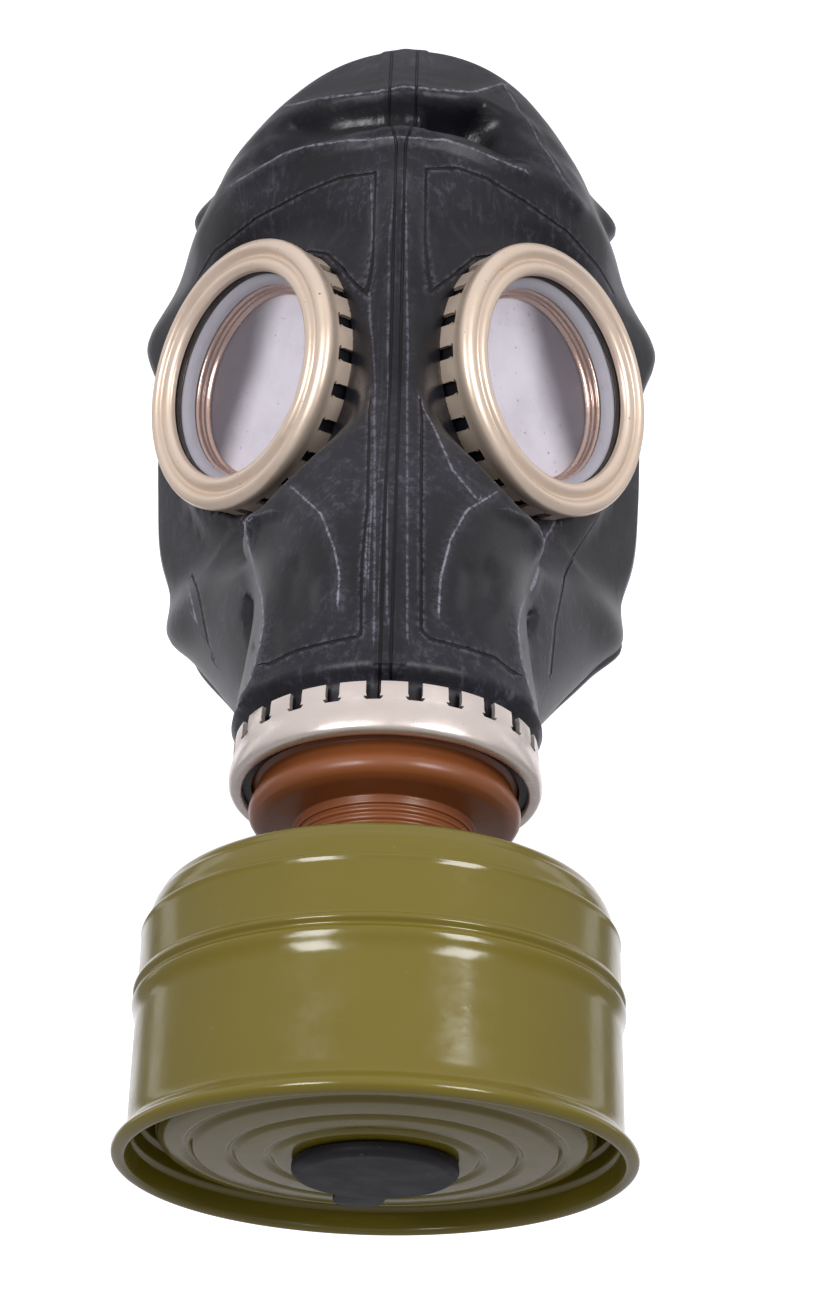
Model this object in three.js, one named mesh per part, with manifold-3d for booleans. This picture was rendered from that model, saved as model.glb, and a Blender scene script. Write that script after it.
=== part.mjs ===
// A whole-head rubber mask in the gas mask style, with two round eyepieces, a valve housing at the
// chin and a round filter canister screwed to it. Millimetres, +Z up, the face looks along -Y.
// The origin is the inner side of the crown, where the top of the wearer's head carries the mask.
//
// Everything is modelled along one straight spine. The spine is the axis of the valve and canister:
// z = 0 is the top of the metal valve band, +z runs up through the head to the back of the crown,
// and -y is forward, towards the face. One turn and one shift then set the spine into the frame.
import * as THREE from "three";
import { mergeVertices } from "three/addons/utils/BufferGeometryUtils.js";
import Module from "manifold-3d";

const wasm = await Module();
wasm.setup();

const DEGREE = Math.PI / 180;

// Rubber helmet
const SPINE = 241; // valve band top to the back of the crown
const SPINE_TILT = 28.4 * DEGREE; // the spine's lean from upright, chin forward
const HEAD_REACH = 140; // spine to the back of the head
const HEAD_HALF_WIDTH = 72;
const WALL = 2.2; // rubber wall
const NECK_RUBBER_GAP = 0.3; // between the rubber neck and what it is clamped on
const NECK_CUT = { chin: 0.069, chin_back: 0.228, nape: 0.592, nape_back: 0.96, round: 0.08 }; // straight neck opening
const NECK_BEAD = 2.3; // radius of the rolled edge round the neck opening
const SEAM_RISE = 0.9; // moulded rib down the middle of the face and over the crown
const SEAM_HALF_WIDTH = 4;

// Eyepieces
const EYE_HALF_SPREAD = 43.3; // middle plane to the centre of a ring's widest circle
const EYE_HEIGHT = 0.487; // share of the spine
const EYE_BACK = 7.5; // ring centre behind the spine
const EYE_YAW = 47.6 * DEGREE;
const EYE_DIP = 9.4 * DEGREE; // towards the valve
const EYE_RING_RADIUS = 38.2;
const EYE_OPENING = 29.1; // radius of the clear opening
const EYE_RING_DEPTH = 11; // widest circle to the crimped edge
const EYE_RING_FACE = 2.4; // front of the ring ahead of its widest circle
const SHEET = 1.2; // aluminium wall of the crimped rings
const LENS_FRONT = -0.6; // the glass lies just under the ring's inner lip
const EYE_GLASS = 1.6;
const EYE_GASKET = 3.2; // depth of the gasket behind the glass
const SPRING_RING = 4.2; // depth of the ring that holds the inner lens
const INNER_LENS = 1;
const SEAT_GAP = 0.3; // pieces that touch keep this clearance

// Valve housing and its clamp band
const BAND_RADIUS = 37.6;
const BAND_HEIGHT = 13;
const BAND_LIP = 3.2; // the band's lower edge turns in by this much
const VALVE_BODY_RADIUS = 33.1;
const VALVE_BODY_DROP = 21.5; // band top to the housing's lower face
const VALVE_PLUG_TOP = 2.6; // above the band's top
const VALVE_COLLAR_RADIUS = 21.7;
const COLLAR_RIBS = 4;
const VALVE_BORE = 15.5;

// Crimp slots in the three aluminium rings
const CRIMP_SLOTS = 24;
const SLOT_WIDTH = 2.7; // eyepieces
const BAND_SLOT_WIDTH = 3.4;
const EYE_SLOT_DEPTH = 3.6;
const BAND_SLOT_DEPTH = 5;

// Filter canister
const CAN_RADIUS = 56.25;
const CAN_RIM_RADIUS = 59; // rolled bottom rim, outside
const CAN_RIM_ROLL = 1.8; // radius of the roll
const CAN_SIDE = 51.4; // rim middle to the shoulder
const CAN_BEAD_HEIGHT = 35.2; // rim middle to the pressed bead
const CAN_BEAD_RISE = 1.1;
const CAN_DOME = 11.5; // shoulder to the top plate
const CAN_STEP_RADIUS = 52.6; // ring step above the shoulder
const CAN_NECK_RADIUS = 18.8;
const CAN_NECK_REACH = 12; // threaded neck, up into the housing's collar
const CAN_RIM_HEIGHT = -103.2; // middle of the rolled rim
const CAN_RECESS = 9; // rim to the deep groove round the end plate
const PLATE_FACE = 0; // middle of the end plate, from the rim
const PLUG_RADIUS = 18.8;
const PLUG_STEM_RADIUS = 15;
const PLUG_THICKNESS = 3.2;
const PLUG_TAB = { width: 12, reach: 8.5, thickness: 2, turn: 11 * DEGREE };

// Mesh fineness
const FRONT_COLUMNS = 8; // per side, from the middle of the face to the widest point
const BACK_COLUMNS = 5; // from there to the middle of the back
const ROWS_PER_SECTION = 2;
const ROUND_SIDES = 24;
const CAN_SIDES = 28;

// The helmet's cross-sections, from the valve neck up to the back of the crown. Heights are shares of
// SPINE. front, back, widest and core are shares of HEAD_REACH: in front of the spine, behind it, how
// far behind it the section is widest, and how far behind it its middle lies. half is a share of
// HEAD_HALF_WIDTH, and full rounds the section's front half: 1 is a wedge and 2 an ellipse. muzzle
// and muzzle_half are the snout or nose in front of the head, as shares of the valve neck's radius.
const SECTIONS = [
  { height: -0.058, core: 0, front: 0.14, back: 0.14, widest: 0, half: 0.28, full: 2, muzzle: 0.97, muzzle_half: 0.97 },
  { height: -0.002, core: 0, front: 0.14, back: 0.17, widest: 0.01, half: 0.33, full: 2, muzzle: 0.97, muzzle_half: 0.97 },
  { height: 0.025, core: 0, front: 0.15, back: 0.21, widest: 0.03, half: 0.42, full: 2, muzzle: 1.045, muzzle_half: 1.045 },
  { height: 0.083, core: 0, front: 0.15, back: 0.31, widest: 0.2, half: 0.52, full: 2, muzzle: 1.03, muzzle_half: 1.0 },
  { height: 0.158, core: 0.02, front: 0.14, back: 0.44, widest: 0.32, half: 0.645, full: 1.8, muzzle: 0.965, muzzle_half: 0.965 },
  { height: 0.241, core: 0.057, front: 0.1, back: 0.59, widest: 0.44, half: 0.785, full: 1.6, muzzle: 0.83, muzzle_half: 1.01 },
  { height: 0.324, core: 0.1, front: 0.06, back: 0.74, widest: 0.51, half: 0.87, full: 1.35, muzzle: 0.65, muzzle_half: 1.09 },
  { height: 0.407, core: 0.114, front: 0.07, back: 0.875, widest: 0.525, half: 0.975, full: 1.15, muzzle: 0.51, muzzle_half: 0.84 },
  { height: 0.49, core: 0.114, front: 0.12, back: 0.957, widest: 0.5, half: 1, full: 1.12, muzzle: 0.575, muzzle_half: 0.4 },
  { height: 0.573, core: 0.129, front: 0.155, back: 0.99, widest: 0.445, half: 1, full: 1.15, muzzle: 0.69, muzzle_half: 0.4 },
  { height: 0.647, core: 0.15, front: 0.17, back: 0.98, widest: 0.415, half: 0.995, full: 1.35, muzzle: 0.715, muzzle_half: 0.37 },
  { height: 0.715, core: 0.18, front: 0.16, back: 0.943, widest: 0.4, half: 0.97, full: 1.7, muzzle: 0.5, muzzle_half: 0.14 },
  { height: 0.755, core: 0.2, front: 0.137, back: 0.905, widest: 0.39, half: 0.935, full: 1.9, muzzle: 0.3, muzzle_half: 0.1 },
  { height: 0.786, core: 0.215, front: 0.12, back: 0.87, widest: 0.38, half: 0.9, full: 2, muzzle: 0.2, muzzle_half: 0.1 },
  { height: 0.815, core: 0.228, front: 0.107, back: 0.83, widest: 0.37, half: 0.845, full: 2, muzzle: 0.1, muzzle_half: 0.1 },
  { height: 0.85, core: 0.24, front: 0.092, back: 0.78, widest: 0.36, half: 0.79, full: 2, muzzle: 0, muzzle_half: 0.1 },
  { height: 0.9, core: 0.258, front: 0.06, back: 0.69, widest: 0.335, half: 0.68, full: 2, muzzle: 0, muzzle_half: 0.1 },
  { height: 0.945, core: 0.272, front: 0.005, back: 0.59, widest: 0.31, half: 0.54, full: 2, muzzle: -0.2, muzzle_half: 0.1 },
  { height: 0.984, core: 0.283, front: -0.12, back: 0.44, widest: 0.288, half: 0.3, full: 2, muzzle: -0.6, muzzle_half: 0.1 },
  { height: 1, core: 0.285, front: -0.285, back: 0.285, widest: 0.285, half: 0, full: 2, muzzle: -1.1, muzzle_half: 0 },
];

// Folds, hollows and lobes of the limp rubber. height is a share of SPINE and turn an angle round the
// spine from the front, in degrees. rise, a share of HEAD_HALF_WIDTH, is outward. tall is the fold's
// half-height as a share of SPINE, and spread its half-width in degrees. Each is mirrored.
const FOLDS = [
  { name: "brow ridge", height: 0.74, turn: 0, rise: 0.03, tall: 0.017, spread: 60 },
  { name: "brow hollow", height: 0.783, turn: 27, rise: -0.11, tall: 0.022, spread: 22 },
  { name: "brow hollow middle", height: 0.783, turn: 0, rise: -0.04, tall: 0.02, spread: 16 },
  { name: "crown ridge", height: 0.83, turn: 0, rise: 0.035, tall: 0.018, spread: 45 },
  { name: "temple bump", height: 0.853, turn: 104, rise: 0.075, tall: 0.026, spread: 9 },
  { name: "temple hollow", height: 0.79, turn: 88, rise: -0.03, tall: 0.03, spread: 14 },
  { name: "ear lobe", height: 0.669, turn: 117, rise: 0.12, tall: 0.052, spread: 9 },
  { name: "ear hollow", height: 0.72, turn: 100, rise: -0.035, tall: 0.04, spread: 12 },
  { name: "cheek hollow", height: 0.4, turn: 112, rise: -0.03, tall: 0.07, spread: 14 },
  { name: "nape hollow", height: 0.73, turn: 163, rise: -0.05, tall: 0.06, spread: 14 },
];

// A closed geometry as a solid.
function solidOf(geometry) {
  const plain = geometry.index ? geometry.toNonIndexed() : geometry;
  const bare = new THREE.BufferGeometry().setAttribute("position", plain.getAttribute("position"));
  const merged = mergeVertices(bare, 1e-4);
  return new wasm.Manifold(
    new wasm.Mesh({
      numProp: 3,
      vertProperties: new Float32Array(merged.attributes.position.array),
      triVerts: new Uint32Array(merged.index.array),
    }),
  );
}

// A solid as a geometry again.
function geometryOf(solid) {
  const mesh = solid.getMesh();
  const geometry = new THREE.BufferGeometry();
  geometry.setAttribute("position", new THREE.BufferAttribute(new Float32Array(mesh.vertProperties), 3));
  geometry.setIndex(new THREE.BufferAttribute(new Uint32Array(mesh.triVerts), 1));
  const flat = geometry.toNonIndexed();
  flat.computeVertexNormals();
  return flat;
}

// A closed profile of [radius, height] points, turned round the z axis.
function turned(profile, sides = ROUND_SIDES) {
  const points = profile.map(([radius, height]) => new THREE.Vector2(Math.max(radius, 0), height));
  points.push(points[0].clone());
  const lathe = new THREE.LatheGeometry(points, sides);
  lathe.rotateX(Math.PI / 2);
  const solid = solidOf(lathe);
  return solid.volume() < 0 ? solidOf(flipped(lathe)) : solid;
}

function flipped(geometry) {
  const index = geometry.index.array.slice();
  for (let i = 0; i < index.length; i += 3) [index[i + 1], index[i + 2]] = [index[i + 2], index[i + 1]];
  return new THREE.BufferGeometry()
    .setAttribute("position", geometry.getAttribute("position"))
    .setIndex(new THREE.BufferAttribute(index, 1));
}

function smoothMax(a, b, blend) {
  const near = Math.max(blend - Math.abs(a - b), 0) / blend;
  return Math.max(a, b) + (near * near * blend) / 4;
}

// One named column of SECTIONS at a fractional row, on a smooth curve through the rows.
function column(name, row) {
  const last = SECTIONS.length - 1;
  const i = Math.min(Math.max(Math.floor(row), 0), last - 1);
  const t = row - i;
  const at = (k) => SECTIONS[Math.min(Math.max(k, 0), last)][name];
  const [a, b, c, d] = [at(i - 1), at(i), at(i + 1), at(i + 2)];
  return 0.5 * (2 * b + (c - a) * t + (2 * a - 5 * b + 4 * c - d) * t * t + (3 * b - a - 3 * c + d) * t * t * t);
}

const NECK_RADIUS = BAND_RADIUS - SHEET - NECK_RUBBER_GAP; // outside of the rubber under the band
const NECK_END = -BAND_HEIGHT + SHEET + SEAT_GAP; // the rubber stops on the band's turned-in edge
const CAN_TOP = CAN_RIM_HEIGHT + CAN_SIDE + CAN_DOME;

// How far a section reaches from its core in a direction, as the larger of the head and the muzzle.
function sectionReach(row, turn) {
  const [side, forward] = [Math.sin(turn), Math.cos(turn)];
  const core = -column("core", row) * HEAD_REACH;
  const front = column("front", row) * HEAD_REACH;
  const back = column("back", row) * HEAD_REACH;
  const widest = column("widest", row) * HEAD_REACH;
  const half = column("half", row) * HEAD_HALF_WIDTH;
  const full = Math.max(column("full", row), 1);
  if (half < 1e-6) return 0;
  const outside = (reach) => {
    const ahead = core + reach * forward + widest;
    const length = ahead > 0 ? front + widest : back - widest;
    const power = ahead > 0 ? full : 2;
    return (Math.abs(ahead) / length) ** power + Math.abs((reach * side) / half) ** power > 1;
  };
  let [low, high] = [0, 2 * HEAD_REACH];
  for (let i = 0; i < 40; i++) {
    const middle = (low + high) / 2;
    if (outside(middle)) high = middle;
    else low = middle;
  }
  const muzzleFront = column("muzzle", row) * NECK_RADIUS - core;
  const muzzleHalf = column("muzzle_half", row) * NECK_RADIUS;
  if (muzzleFront <= 0 || muzzleHalf <= 0) return low;
  const muzzleLength = forward > 0 ? muzzleFront : muzzleHalf;
  const muzzle = 1 / Math.hypot(forward / muzzleLength, side / muzzleHalf);
  return smoothMax(low, muzzle, 0.06 * NECK_RADIUS);
}

// The outward push of every fold at a height and turn.
function foldRise(height, turn) {
  let rise = 0;
  for (const fold of FOLDS) {
    const up = (height / SPINE - fold.height) / fold.tall;
    for (const side of fold.turn === 0 ? [1] : [1, -1]) {
      const round = (turn / DEGREE - side * fold.turn) / fold.spread;
      rise += fold.rise * HEAD_HALF_WIDTH * Math.exp(-up * up - round * round);
    }
  }
  return rise;
}

// A point of the helmet's outer face at a fractional row and a turn round the spine.
function helmetPoint(row, turn) {
  const height = column("height", row) * SPINE;
  const core = -column("core", row) * HEAD_REACH;
  const bare = sectionReach(row, turn);
  const taper = Math.min(bare / (0.3 * HEAD_HALF_WIDTH), 1);
  const across = (bare * Math.sin(turn)) / SEAM_HALF_WIDTH;
  const aboveBand = Math.min(Math.max(height / (0.04 * SPINE), 0), 1);
  const seam = SEAM_RISE * Math.exp(-across * across) * aboveBand;
  const reach = bare + taper * (foldRise(height, turn) + seam);
  return new THREE.Vector3(reach * Math.sin(turn), -(core + reach * Math.cos(turn)), height);
}

// The direction out of the helmet's face, from its slope both ways.
function helmetNormal(row, turn) {
  const step = 0.02;
  const up = helmetPoint(Math.min(row + step, SECTIONS.length - 1), turn).sub(helmetPoint(row - step, turn));
  const round = helmetPoint(row, turn + step).sub(helmetPoint(row, turn - step));
  return round.cross(up).normalize();
}

// The turn of a column. On every section one column runs along the widest point, where the cheek
// meets the back of the head.
function columnTurn(k, row) {
  const behind = (column("widest", row) - column("core", row)) * HEAD_REACH;
  const widest = Math.PI / 2 + Math.atan2(behind, column("half", row) * HEAD_HALF_WIDTH + 1);
  const n = Math.abs(k);
  const turn =
    n <= FRONT_COLUMNS
      ? (widest * n) / FRONT_COLUMNS
      : widest + ((Math.PI - widest) * (n - FRONT_COLUMNS)) / BACK_COLUMNS;
  return Math.sign(k) * turn;
}

// The closed surface of the helmet, moved inward by inset, its lower end stretched down by run.
function helmetSolid(inset, run) {
  const rows = (SECTIONS.length - 1) * ROWS_PER_SECTION;
  const perSide = FRONT_COLUMNS + BACK_COLUMNS;
  const around = 2 * perSide;
  const positions = [];
  const triangles = [];
  for (let r = 0; r < rows; r++) {
    const row = r / ROWS_PER_SECTION;
    for (let c = 0; c < around; c++) {
      const turn = columnTurn(c - perSide, row);
      const point = helmetPoint(row, turn);
      point.addScaledVector(helmetNormal(row, turn), -inset);
      if (r === 0) point.z = NECK_END - run;
      positions.push(point.x, point.y, point.z);
    }
  }
  const top = positions.length / 3;
  const crown = helmetPoint(SECTIONS.length - 1, 0);
  positions.push(crown.x, crown.y, crown.z - inset);
  const bottom = top + 1;
  positions.push(0, 0, positions[2]);
  for (let r = 0; r < rows; r++) {
    for (let c = 0; c < around; c++) {
      const [a, b] = [r * around + c, r * around + ((c + 1) % around)];
      if (r === rows - 1) triangles.push(a, b, top);
      else triangles.push(a, b, b + around, a, b + around, a + around);
      if (r === 0) triangles.push(bottom, b, a);
    }
  }
  const solid = new wasm.Manifold(
    new wasm.Mesh({
      numProp: 3,
      vertProperties: new Float32Array(positions),
      triVerts: new Uint32Array(triangles),
    }),
  );
  if (solid.volume() > 0) return solid;
  for (let i = 0; i < triangles.length; i += 3) {
    [triangles[i + 1], triangles[i + 2]] = [triangles[i + 2], triangles[i + 1]];
  }
  return new wasm.Manifold(
    new wasm.Mesh({
      numProp: 3,
      vertProperties: new Float32Array(positions),
      triVerts: new Uint32Array(triangles),
    }),
  );
}

// The neck opening runs straight from the nape down to the chin, and turns down behind the valve
// neck there. Both are measured from where the two lines meet, in the middle plane.
const CHIN = new THREE.Vector2(NECK_CUT.chin_back * HEAD_REACH, NECK_CUT.chin * SPINE);
const NAPE = new THREE.Vector2(NECK_CUT.nape_back * HEAD_REACH, NECK_CUT.nape * SPINE);
const JAW_ANGLE = Math.atan2(NAPE.y - CHIN.y, NAPE.x - CHIN.x);
const CHIN_ROUND = NECK_CUT.round * HEAD_REACH;

// Above zero on the rubber that stays, and below zero in the opening.
function keepsRubber(point) {
  const [y, z] = [point.y - CHIN.x, point.z - CHIN.y];
  const above = z * Math.cos(JAW_ANGLE) - y * Math.sin(JAW_ANGLE);
  const ahead = -(y * Math.cos(JAW_ANGLE) + z * Math.sin(JAW_ANGLE));
  const [a, b] = [above + CHIN_ROUND, ahead + CHIN_ROUND];
  return a > 0 && b > 0 ? Math.hypot(a, b) - CHIN_ROUND : Math.max(above, ahead);
}

// Everything in the opening, as a bar across the head with a rounded front corner.
function neckCutter() {
  const far = 2 * HEAD_REACH;
  const outline = new THREE.Shape();
  outline.moveTo(0, -far);
  outline.lineTo(0, -CHIN_ROUND);
  outline.absarc(CHIN_ROUND, -CHIN_ROUND, CHIN_ROUND, Math.PI, Math.PI / 2, true);
  outline.lineTo(far, 0);
  outline.lineTo(far, -far);
  const bar = new THREE.ExtrudeGeometry(outline, {
    depth: 4 * HEAD_HALF_WIDTH,
    bevelEnabled: false,
    curveSegments: 5,
  });
  bar.translate(0, 0, -2 * HEAD_HALF_WIDTH);
  bar.rotateZ(JAW_ANGLE);
  bar.applyMatrix4(new THREE.Matrix4().set(0, 0, 1, 0, 1, 0, 0, CHIN.x, 0, 1, 0, CHIN.y, 0, 0, 0, 1));
  return solidOf(bar);
}

// The rolled edge: a round bead in the middle of the wall, all round the opening.
function neckBead() {
  const middleRow = 0.2 * SECTIONS.length;
  const points = [];
  const steps = 32;
  for (let k = 0; k < steps; k++) {
    const angle = (2 * Math.PI * k) / steps;
    const onFace = (share) => {
      const row = Math.max(middleRow + share * Math.sin(angle) * 0.6 * SECTIONS.length, 0.1);
      const turn = Math.PI + share * Math.cos(angle) * Math.PI;
      return helmetPoint(row, turn).addScaledVector(helmetNormal(row, turn), -WALL / 2);
    };
    let [open, kept] = [0, 1];
    for (let share = 0.05; share <= 1; share += 0.05) {
      if (keepsRubber(onFace(share)) > 0) {
        kept = share;
        break;
      }
      open = share;
    }
    for (let i = 0; i < 20; i++) {
      const half = (open + kept) / 2;
      if (keepsRubber(onFace(half)) > 0) kept = half;
      else open = half;
    }
    points.push(onFace(open));
  }
  const section = new THREE.Shape();
  section.absarc(0, 0, NECK_BEAD, 0, 2 * Math.PI);
  const tube = new THREE.ExtrudeGeometry(section, {
    steps: 40,
    curveSegments: 3,
    extrudePath: new THREE.CatmullRomCurve3(points, true),
    bevelEnabled: false,
  });
  return solidOf(tube);
}

// Where an eyepiece sits: its own z axis looks out of the eye.
function eyeMatrix(side) {
  const out = new THREE.Vector3(
    side * Math.sin(EYE_YAW) * Math.cos(EYE_DIP),
    -Math.cos(EYE_YAW) * Math.cos(EYE_DIP),
    -Math.sin(EYE_DIP),
  );
  const turn = new THREE.Quaternion().setFromUnitVectors(new THREE.Vector3(0, 0, 1), out);
  const centre = new THREE.Vector3(side * EYE_HALF_SPREAD, EYE_BACK, EYE_HEIGHT * SPINE);
  return new THREE.Matrix4().compose(centre, turn, new THREE.Vector3(1, 1, 1));
}

const placed = (solid, matrix) => solid.transform(matrix.elements);

// Heights in an eyepiece, measured out from its widest circle.
const SEAT_FRONT = LENS_FRONT - EYE_GLASS - SEAT_GAP; // rubber flange behind the glass
const SEAT_BACK = -EYE_RING_DEPTH + SHEET + SEAT_GAP; // rubber flange over the crimped edge
const GASKET_FRONT = SEAT_FRONT - 0.2;
const SPRING_FRONT = GASKET_FRONT - EYE_GASKET - SEAT_GAP;
const INNER_FRONT = SPRING_FRONT - SPRING_RING - SEAT_GAP;
const WELL_BACK = INNER_FRONT - INNER_LENS - SEAT_GAP;
const LENS_RADIUS = EYE_RING_RADIUS - 0.6 - SHEET - SEAT_GAP;
const SEAT_RADIUS = LENS_RADIUS; // rubber flange inside the ring
const WELL_RADIUS = EYE_OPENING + 0.5;
const SOCKET_RADIUS = EYE_RING_RADIUS - 0.6 - 1.9 * SHEET - SEAT_GAP; // rubber in the crimped edge

// The rubber stands up round each eye to the flange that the ring grips.
function eyeSocket(side) {
  const root = -0.8 * EYE_RING_RADIUS;
  const collar = turned([
    [0, root],
    [EYE_RING_RADIUS, root],
    [EYE_RING_RADIUS, -EYE_RING_DEPTH - 3],
    [EYE_RING_RADIUS - 1, -EYE_RING_DEPTH - SEAT_GAP],
    [SOCKET_RADIUS, -EYE_RING_DEPTH - SEAT_GAP],
    [SOCKET_RADIUS, SEAT_BACK],
    [SEAT_RADIUS, SEAT_BACK],
    [SEAT_RADIUS, SEAT_FRONT],
    [0, SEAT_FRONT],
  ]);
  return placed(collar, eyeMatrix(side));
}

// The well through the socket: the gasket, spring ring and inner lens fill it down to a ledge.
function eyeWell(side) {
  const inside = -1.6 * EYE_RING_RADIUS;
  const ledge = WELL_BACK - WALL;
  const well = turned([
    [0, inside],
    [SOCKET_RADIUS - WALL, inside],
    [SOCKET_RADIUS - WALL, ledge],
    [WELL_RADIUS - 2.5, ledge],
    [WELL_RADIUS - 2.5, WELL_BACK],
    [WELL_RADIUS, WELL_BACK],
    [WELL_RADIUS, EYE_RING_DEPTH],
    [0, EYE_RING_DEPTH],
  ]);
  return placed(well, eyeMatrix(side));
}

// The space that a ring needs in front of the rubber, grown by a wall.
function eyeSpace(side, wall) {
  const [radius, floor] = [EYE_RING_RADIUS + 1.5 * SEAT_GAP + wall, -EYE_RING_DEPTH - SEAT_GAP - wall];
  const space = turned([
    [0, floor],
    [radius, floor],
    [radius, 2 * EYE_RING_RADIUS],
    [0, 2 * EYE_RING_RADIUS],
  ]);
  return placed(space, eyeMatrix(side));
}

function buildHelmet() {
  let [shell, hollow] = [helmetSolid(0, 0), helmetSolid(WALL, WALL)];
  for (const side of [-1, 1]) {
    shell = shell.subtract(eyeSpace(side, 0)).add(eyeSocket(side));
    hollow = hollow.subtract(eyeSpace(side, WALL));
  }
  shell = shell.subtract(hollow);
  for (const side of [-1, 1]) shell = shell.subtract(eyeWell(side));
  const [bore, plugTop] = [NECK_RADIUS - WALL, VALVE_PLUG_TOP + SEAT_GAP];
  shell = shell
    .add(ringBetween(bore, NECK_RADIUS, NECK_END, 0))
    .subtract(ringBetween(0, bore, NECK_END - 1, plugTop));
  return shell.subtract(neckCutter()).add(neckBead());
}

// One eyepiece, from the front: crimped ring, glass, gasket, spring ring and inner lens. Its own z
// axis looks out of the eye, and z = 0 is the ring's widest circle.
function eyeRing(side) {
  const [outer, deep] = [EYE_RING_RADIUS, -EYE_RING_DEPTH];
  const skirt = outer - 0.6;
  const band = outer - EYE_OPENING; // opening to the widest circle
  const ring = turned(
    [
      [skirt - 1.9 * SHEET, deep],
      [skirt, deep],
      [skirt, 0.3 * deep],
      [outer, 0],
      [outer - 0.3 * band, EYE_RING_FACE],
      [outer - 0.58 * band, 0.35 * EYE_RING_FACE],
      [outer - 0.78 * band, 0.85 * EYE_RING_FACE],
      [EYE_OPENING, 0.4 * EYE_RING_FACE],
      [EYE_OPENING, LENS_FRONT + SEAT_GAP],
      [skirt - SHEET, LENS_FRONT + SEAT_GAP],
      [skirt - SHEET, deep + SHEET],
      [skirt - 1.9 * SHEET, deep + SHEET],
    ],
  );
  const cut = ring.subtract(crimpSlots(outer, SLOT_WIDTH, deep - 1, deep + EYE_SLOT_DEPTH));
  return placed(cut, eyeMatrix(side));
}

// The crimping slots, as one cutter of radial bars between two heights.
function crimpSlots(radius, width, low, high) {
  const bars = [];
  for (let k = 0; k < CRIMP_SLOTS; k++) {
    const bar = new THREE.BoxGeometry(width, 6 * SHEET + 6, high - low);
    bar.translate(0, radius, (low + high) / 2);
    bar.rotateZ((2 * Math.PI * (k + 0.5)) / CRIMP_SLOTS);
    bars.push(solidOf(bar));
  }
  return wasm.Manifold.union(bars);
}

const ringBetween = (inner, outer, low, high) =>
  turned([[inner, low], [outer, low], [outer, high], [inner, high]]);

const lens = (side) =>
  placed(ringBetween(0, LENS_RADIUS, LENS_FRONT - EYE_GLASS, LENS_FRONT), eyeMatrix(side));

function gasket(side) {
  const inner = WELL_RADIUS - SEAT_GAP;
  const soft = turned(
    [
      [inner - 2, GASKET_FRONT - EYE_GASKET],
      [inner, GASKET_FRONT - EYE_GASKET],
      [inner, GASKET_FRONT],
      [inner - 0.9, GASKET_FRONT],
    ],
  );
  return placed(soft, eyeMatrix(side));
}

function springRing(side) {
  const outer = WELL_RADIUS - SEAT_GAP;
  const back = SPRING_FRONT - SPRING_RING;
  const ring = turned(
    [
      [outer - 3.4, back],
      [outer, back],
      [outer, SPRING_FRONT],
      [outer - 2.2, SPRING_FRONT],
    ],
  );
  return placed(ring, eyeMatrix(side));
}

const innerLens = (side) =>
  placed(ringBetween(0, WELL_RADIUS - SEAT_GAP, INNER_FRONT - INNER_LENS, INNER_FRONT), eyeMatrix(side));

// The clamp band: a sheet ring, slotted along its top edge and rolled in below.
function valveBand() {
  const inner = BAND_RADIUS - SHEET;
  const ring = turned(
    [
      [inner, 0],
      [inner, -BAND_HEIGHT + SHEET],
      [BAND_RADIUS - BAND_LIP, -BAND_HEIGHT + SHEET],
      [BAND_RADIUS - BAND_LIP, -BAND_HEIGHT],
      [BAND_RADIUS - 0.3 * SHEET, -BAND_HEIGHT],
      [BAND_RADIUS + 0.5 * SHEET, -0.8 * BAND_HEIGHT],
      [BAND_RADIUS - 0.2 * SHEET, 0],
    ],
  );
  return ring.subtract(crimpSlots(BAND_RADIUS, BAND_SLOT_WIDTH, -BAND_SLOT_DEPTH, 1));
}

// The moulded valve housing: a plug in the rubber neck, a rounded disc below it and the ribbed
// collar that takes the canister's neck.
function valveBody() {
  const [disc, collar, plug] = [VALVE_BODY_RADIUS, VALVE_COLLAR_RADIUS, NECK_RADIUS - WALL - SEAT_GAP];
  const [under, end] = [-VALVE_BODY_DROP, CAN_TOP + SEAT_GAP];
  const ribs = [];
  const pitch = (under - end) / (COLLAR_RIBS + 1);
  for (let k = 0; k < COLLAR_RIBS; k++) {
    const base = end + k * pitch;
    ribs.push([collar, base + 0.5 * pitch], [collar - 0.8, base + pitch]);
  }
  return turned([
    [VALVE_BORE, under - 1],
    [CAN_NECK_RADIUS + SEAT_GAP, under - 1],
    [CAN_NECK_RADIUS + SEAT_GAP, end],
    [collar - 0.8, end],
    ...ribs,
    [collar, end + COLLAR_RIBS * pitch + 0.8],
    [collar, under],
    [0.92 * disc, under],
    [disc, under + 2.6],
    [disc, under + 5],
    [0.93 * disc, under + 7.6],
    [0.93 * disc, -0.75 * BAND_HEIGHT],
    [plug, -0.75 * BAND_HEIGHT],
    [plug, VALVE_PLUG_TOP],
    [VALVE_BORE, VALVE_PLUG_TOP],
  ]);
}

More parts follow.
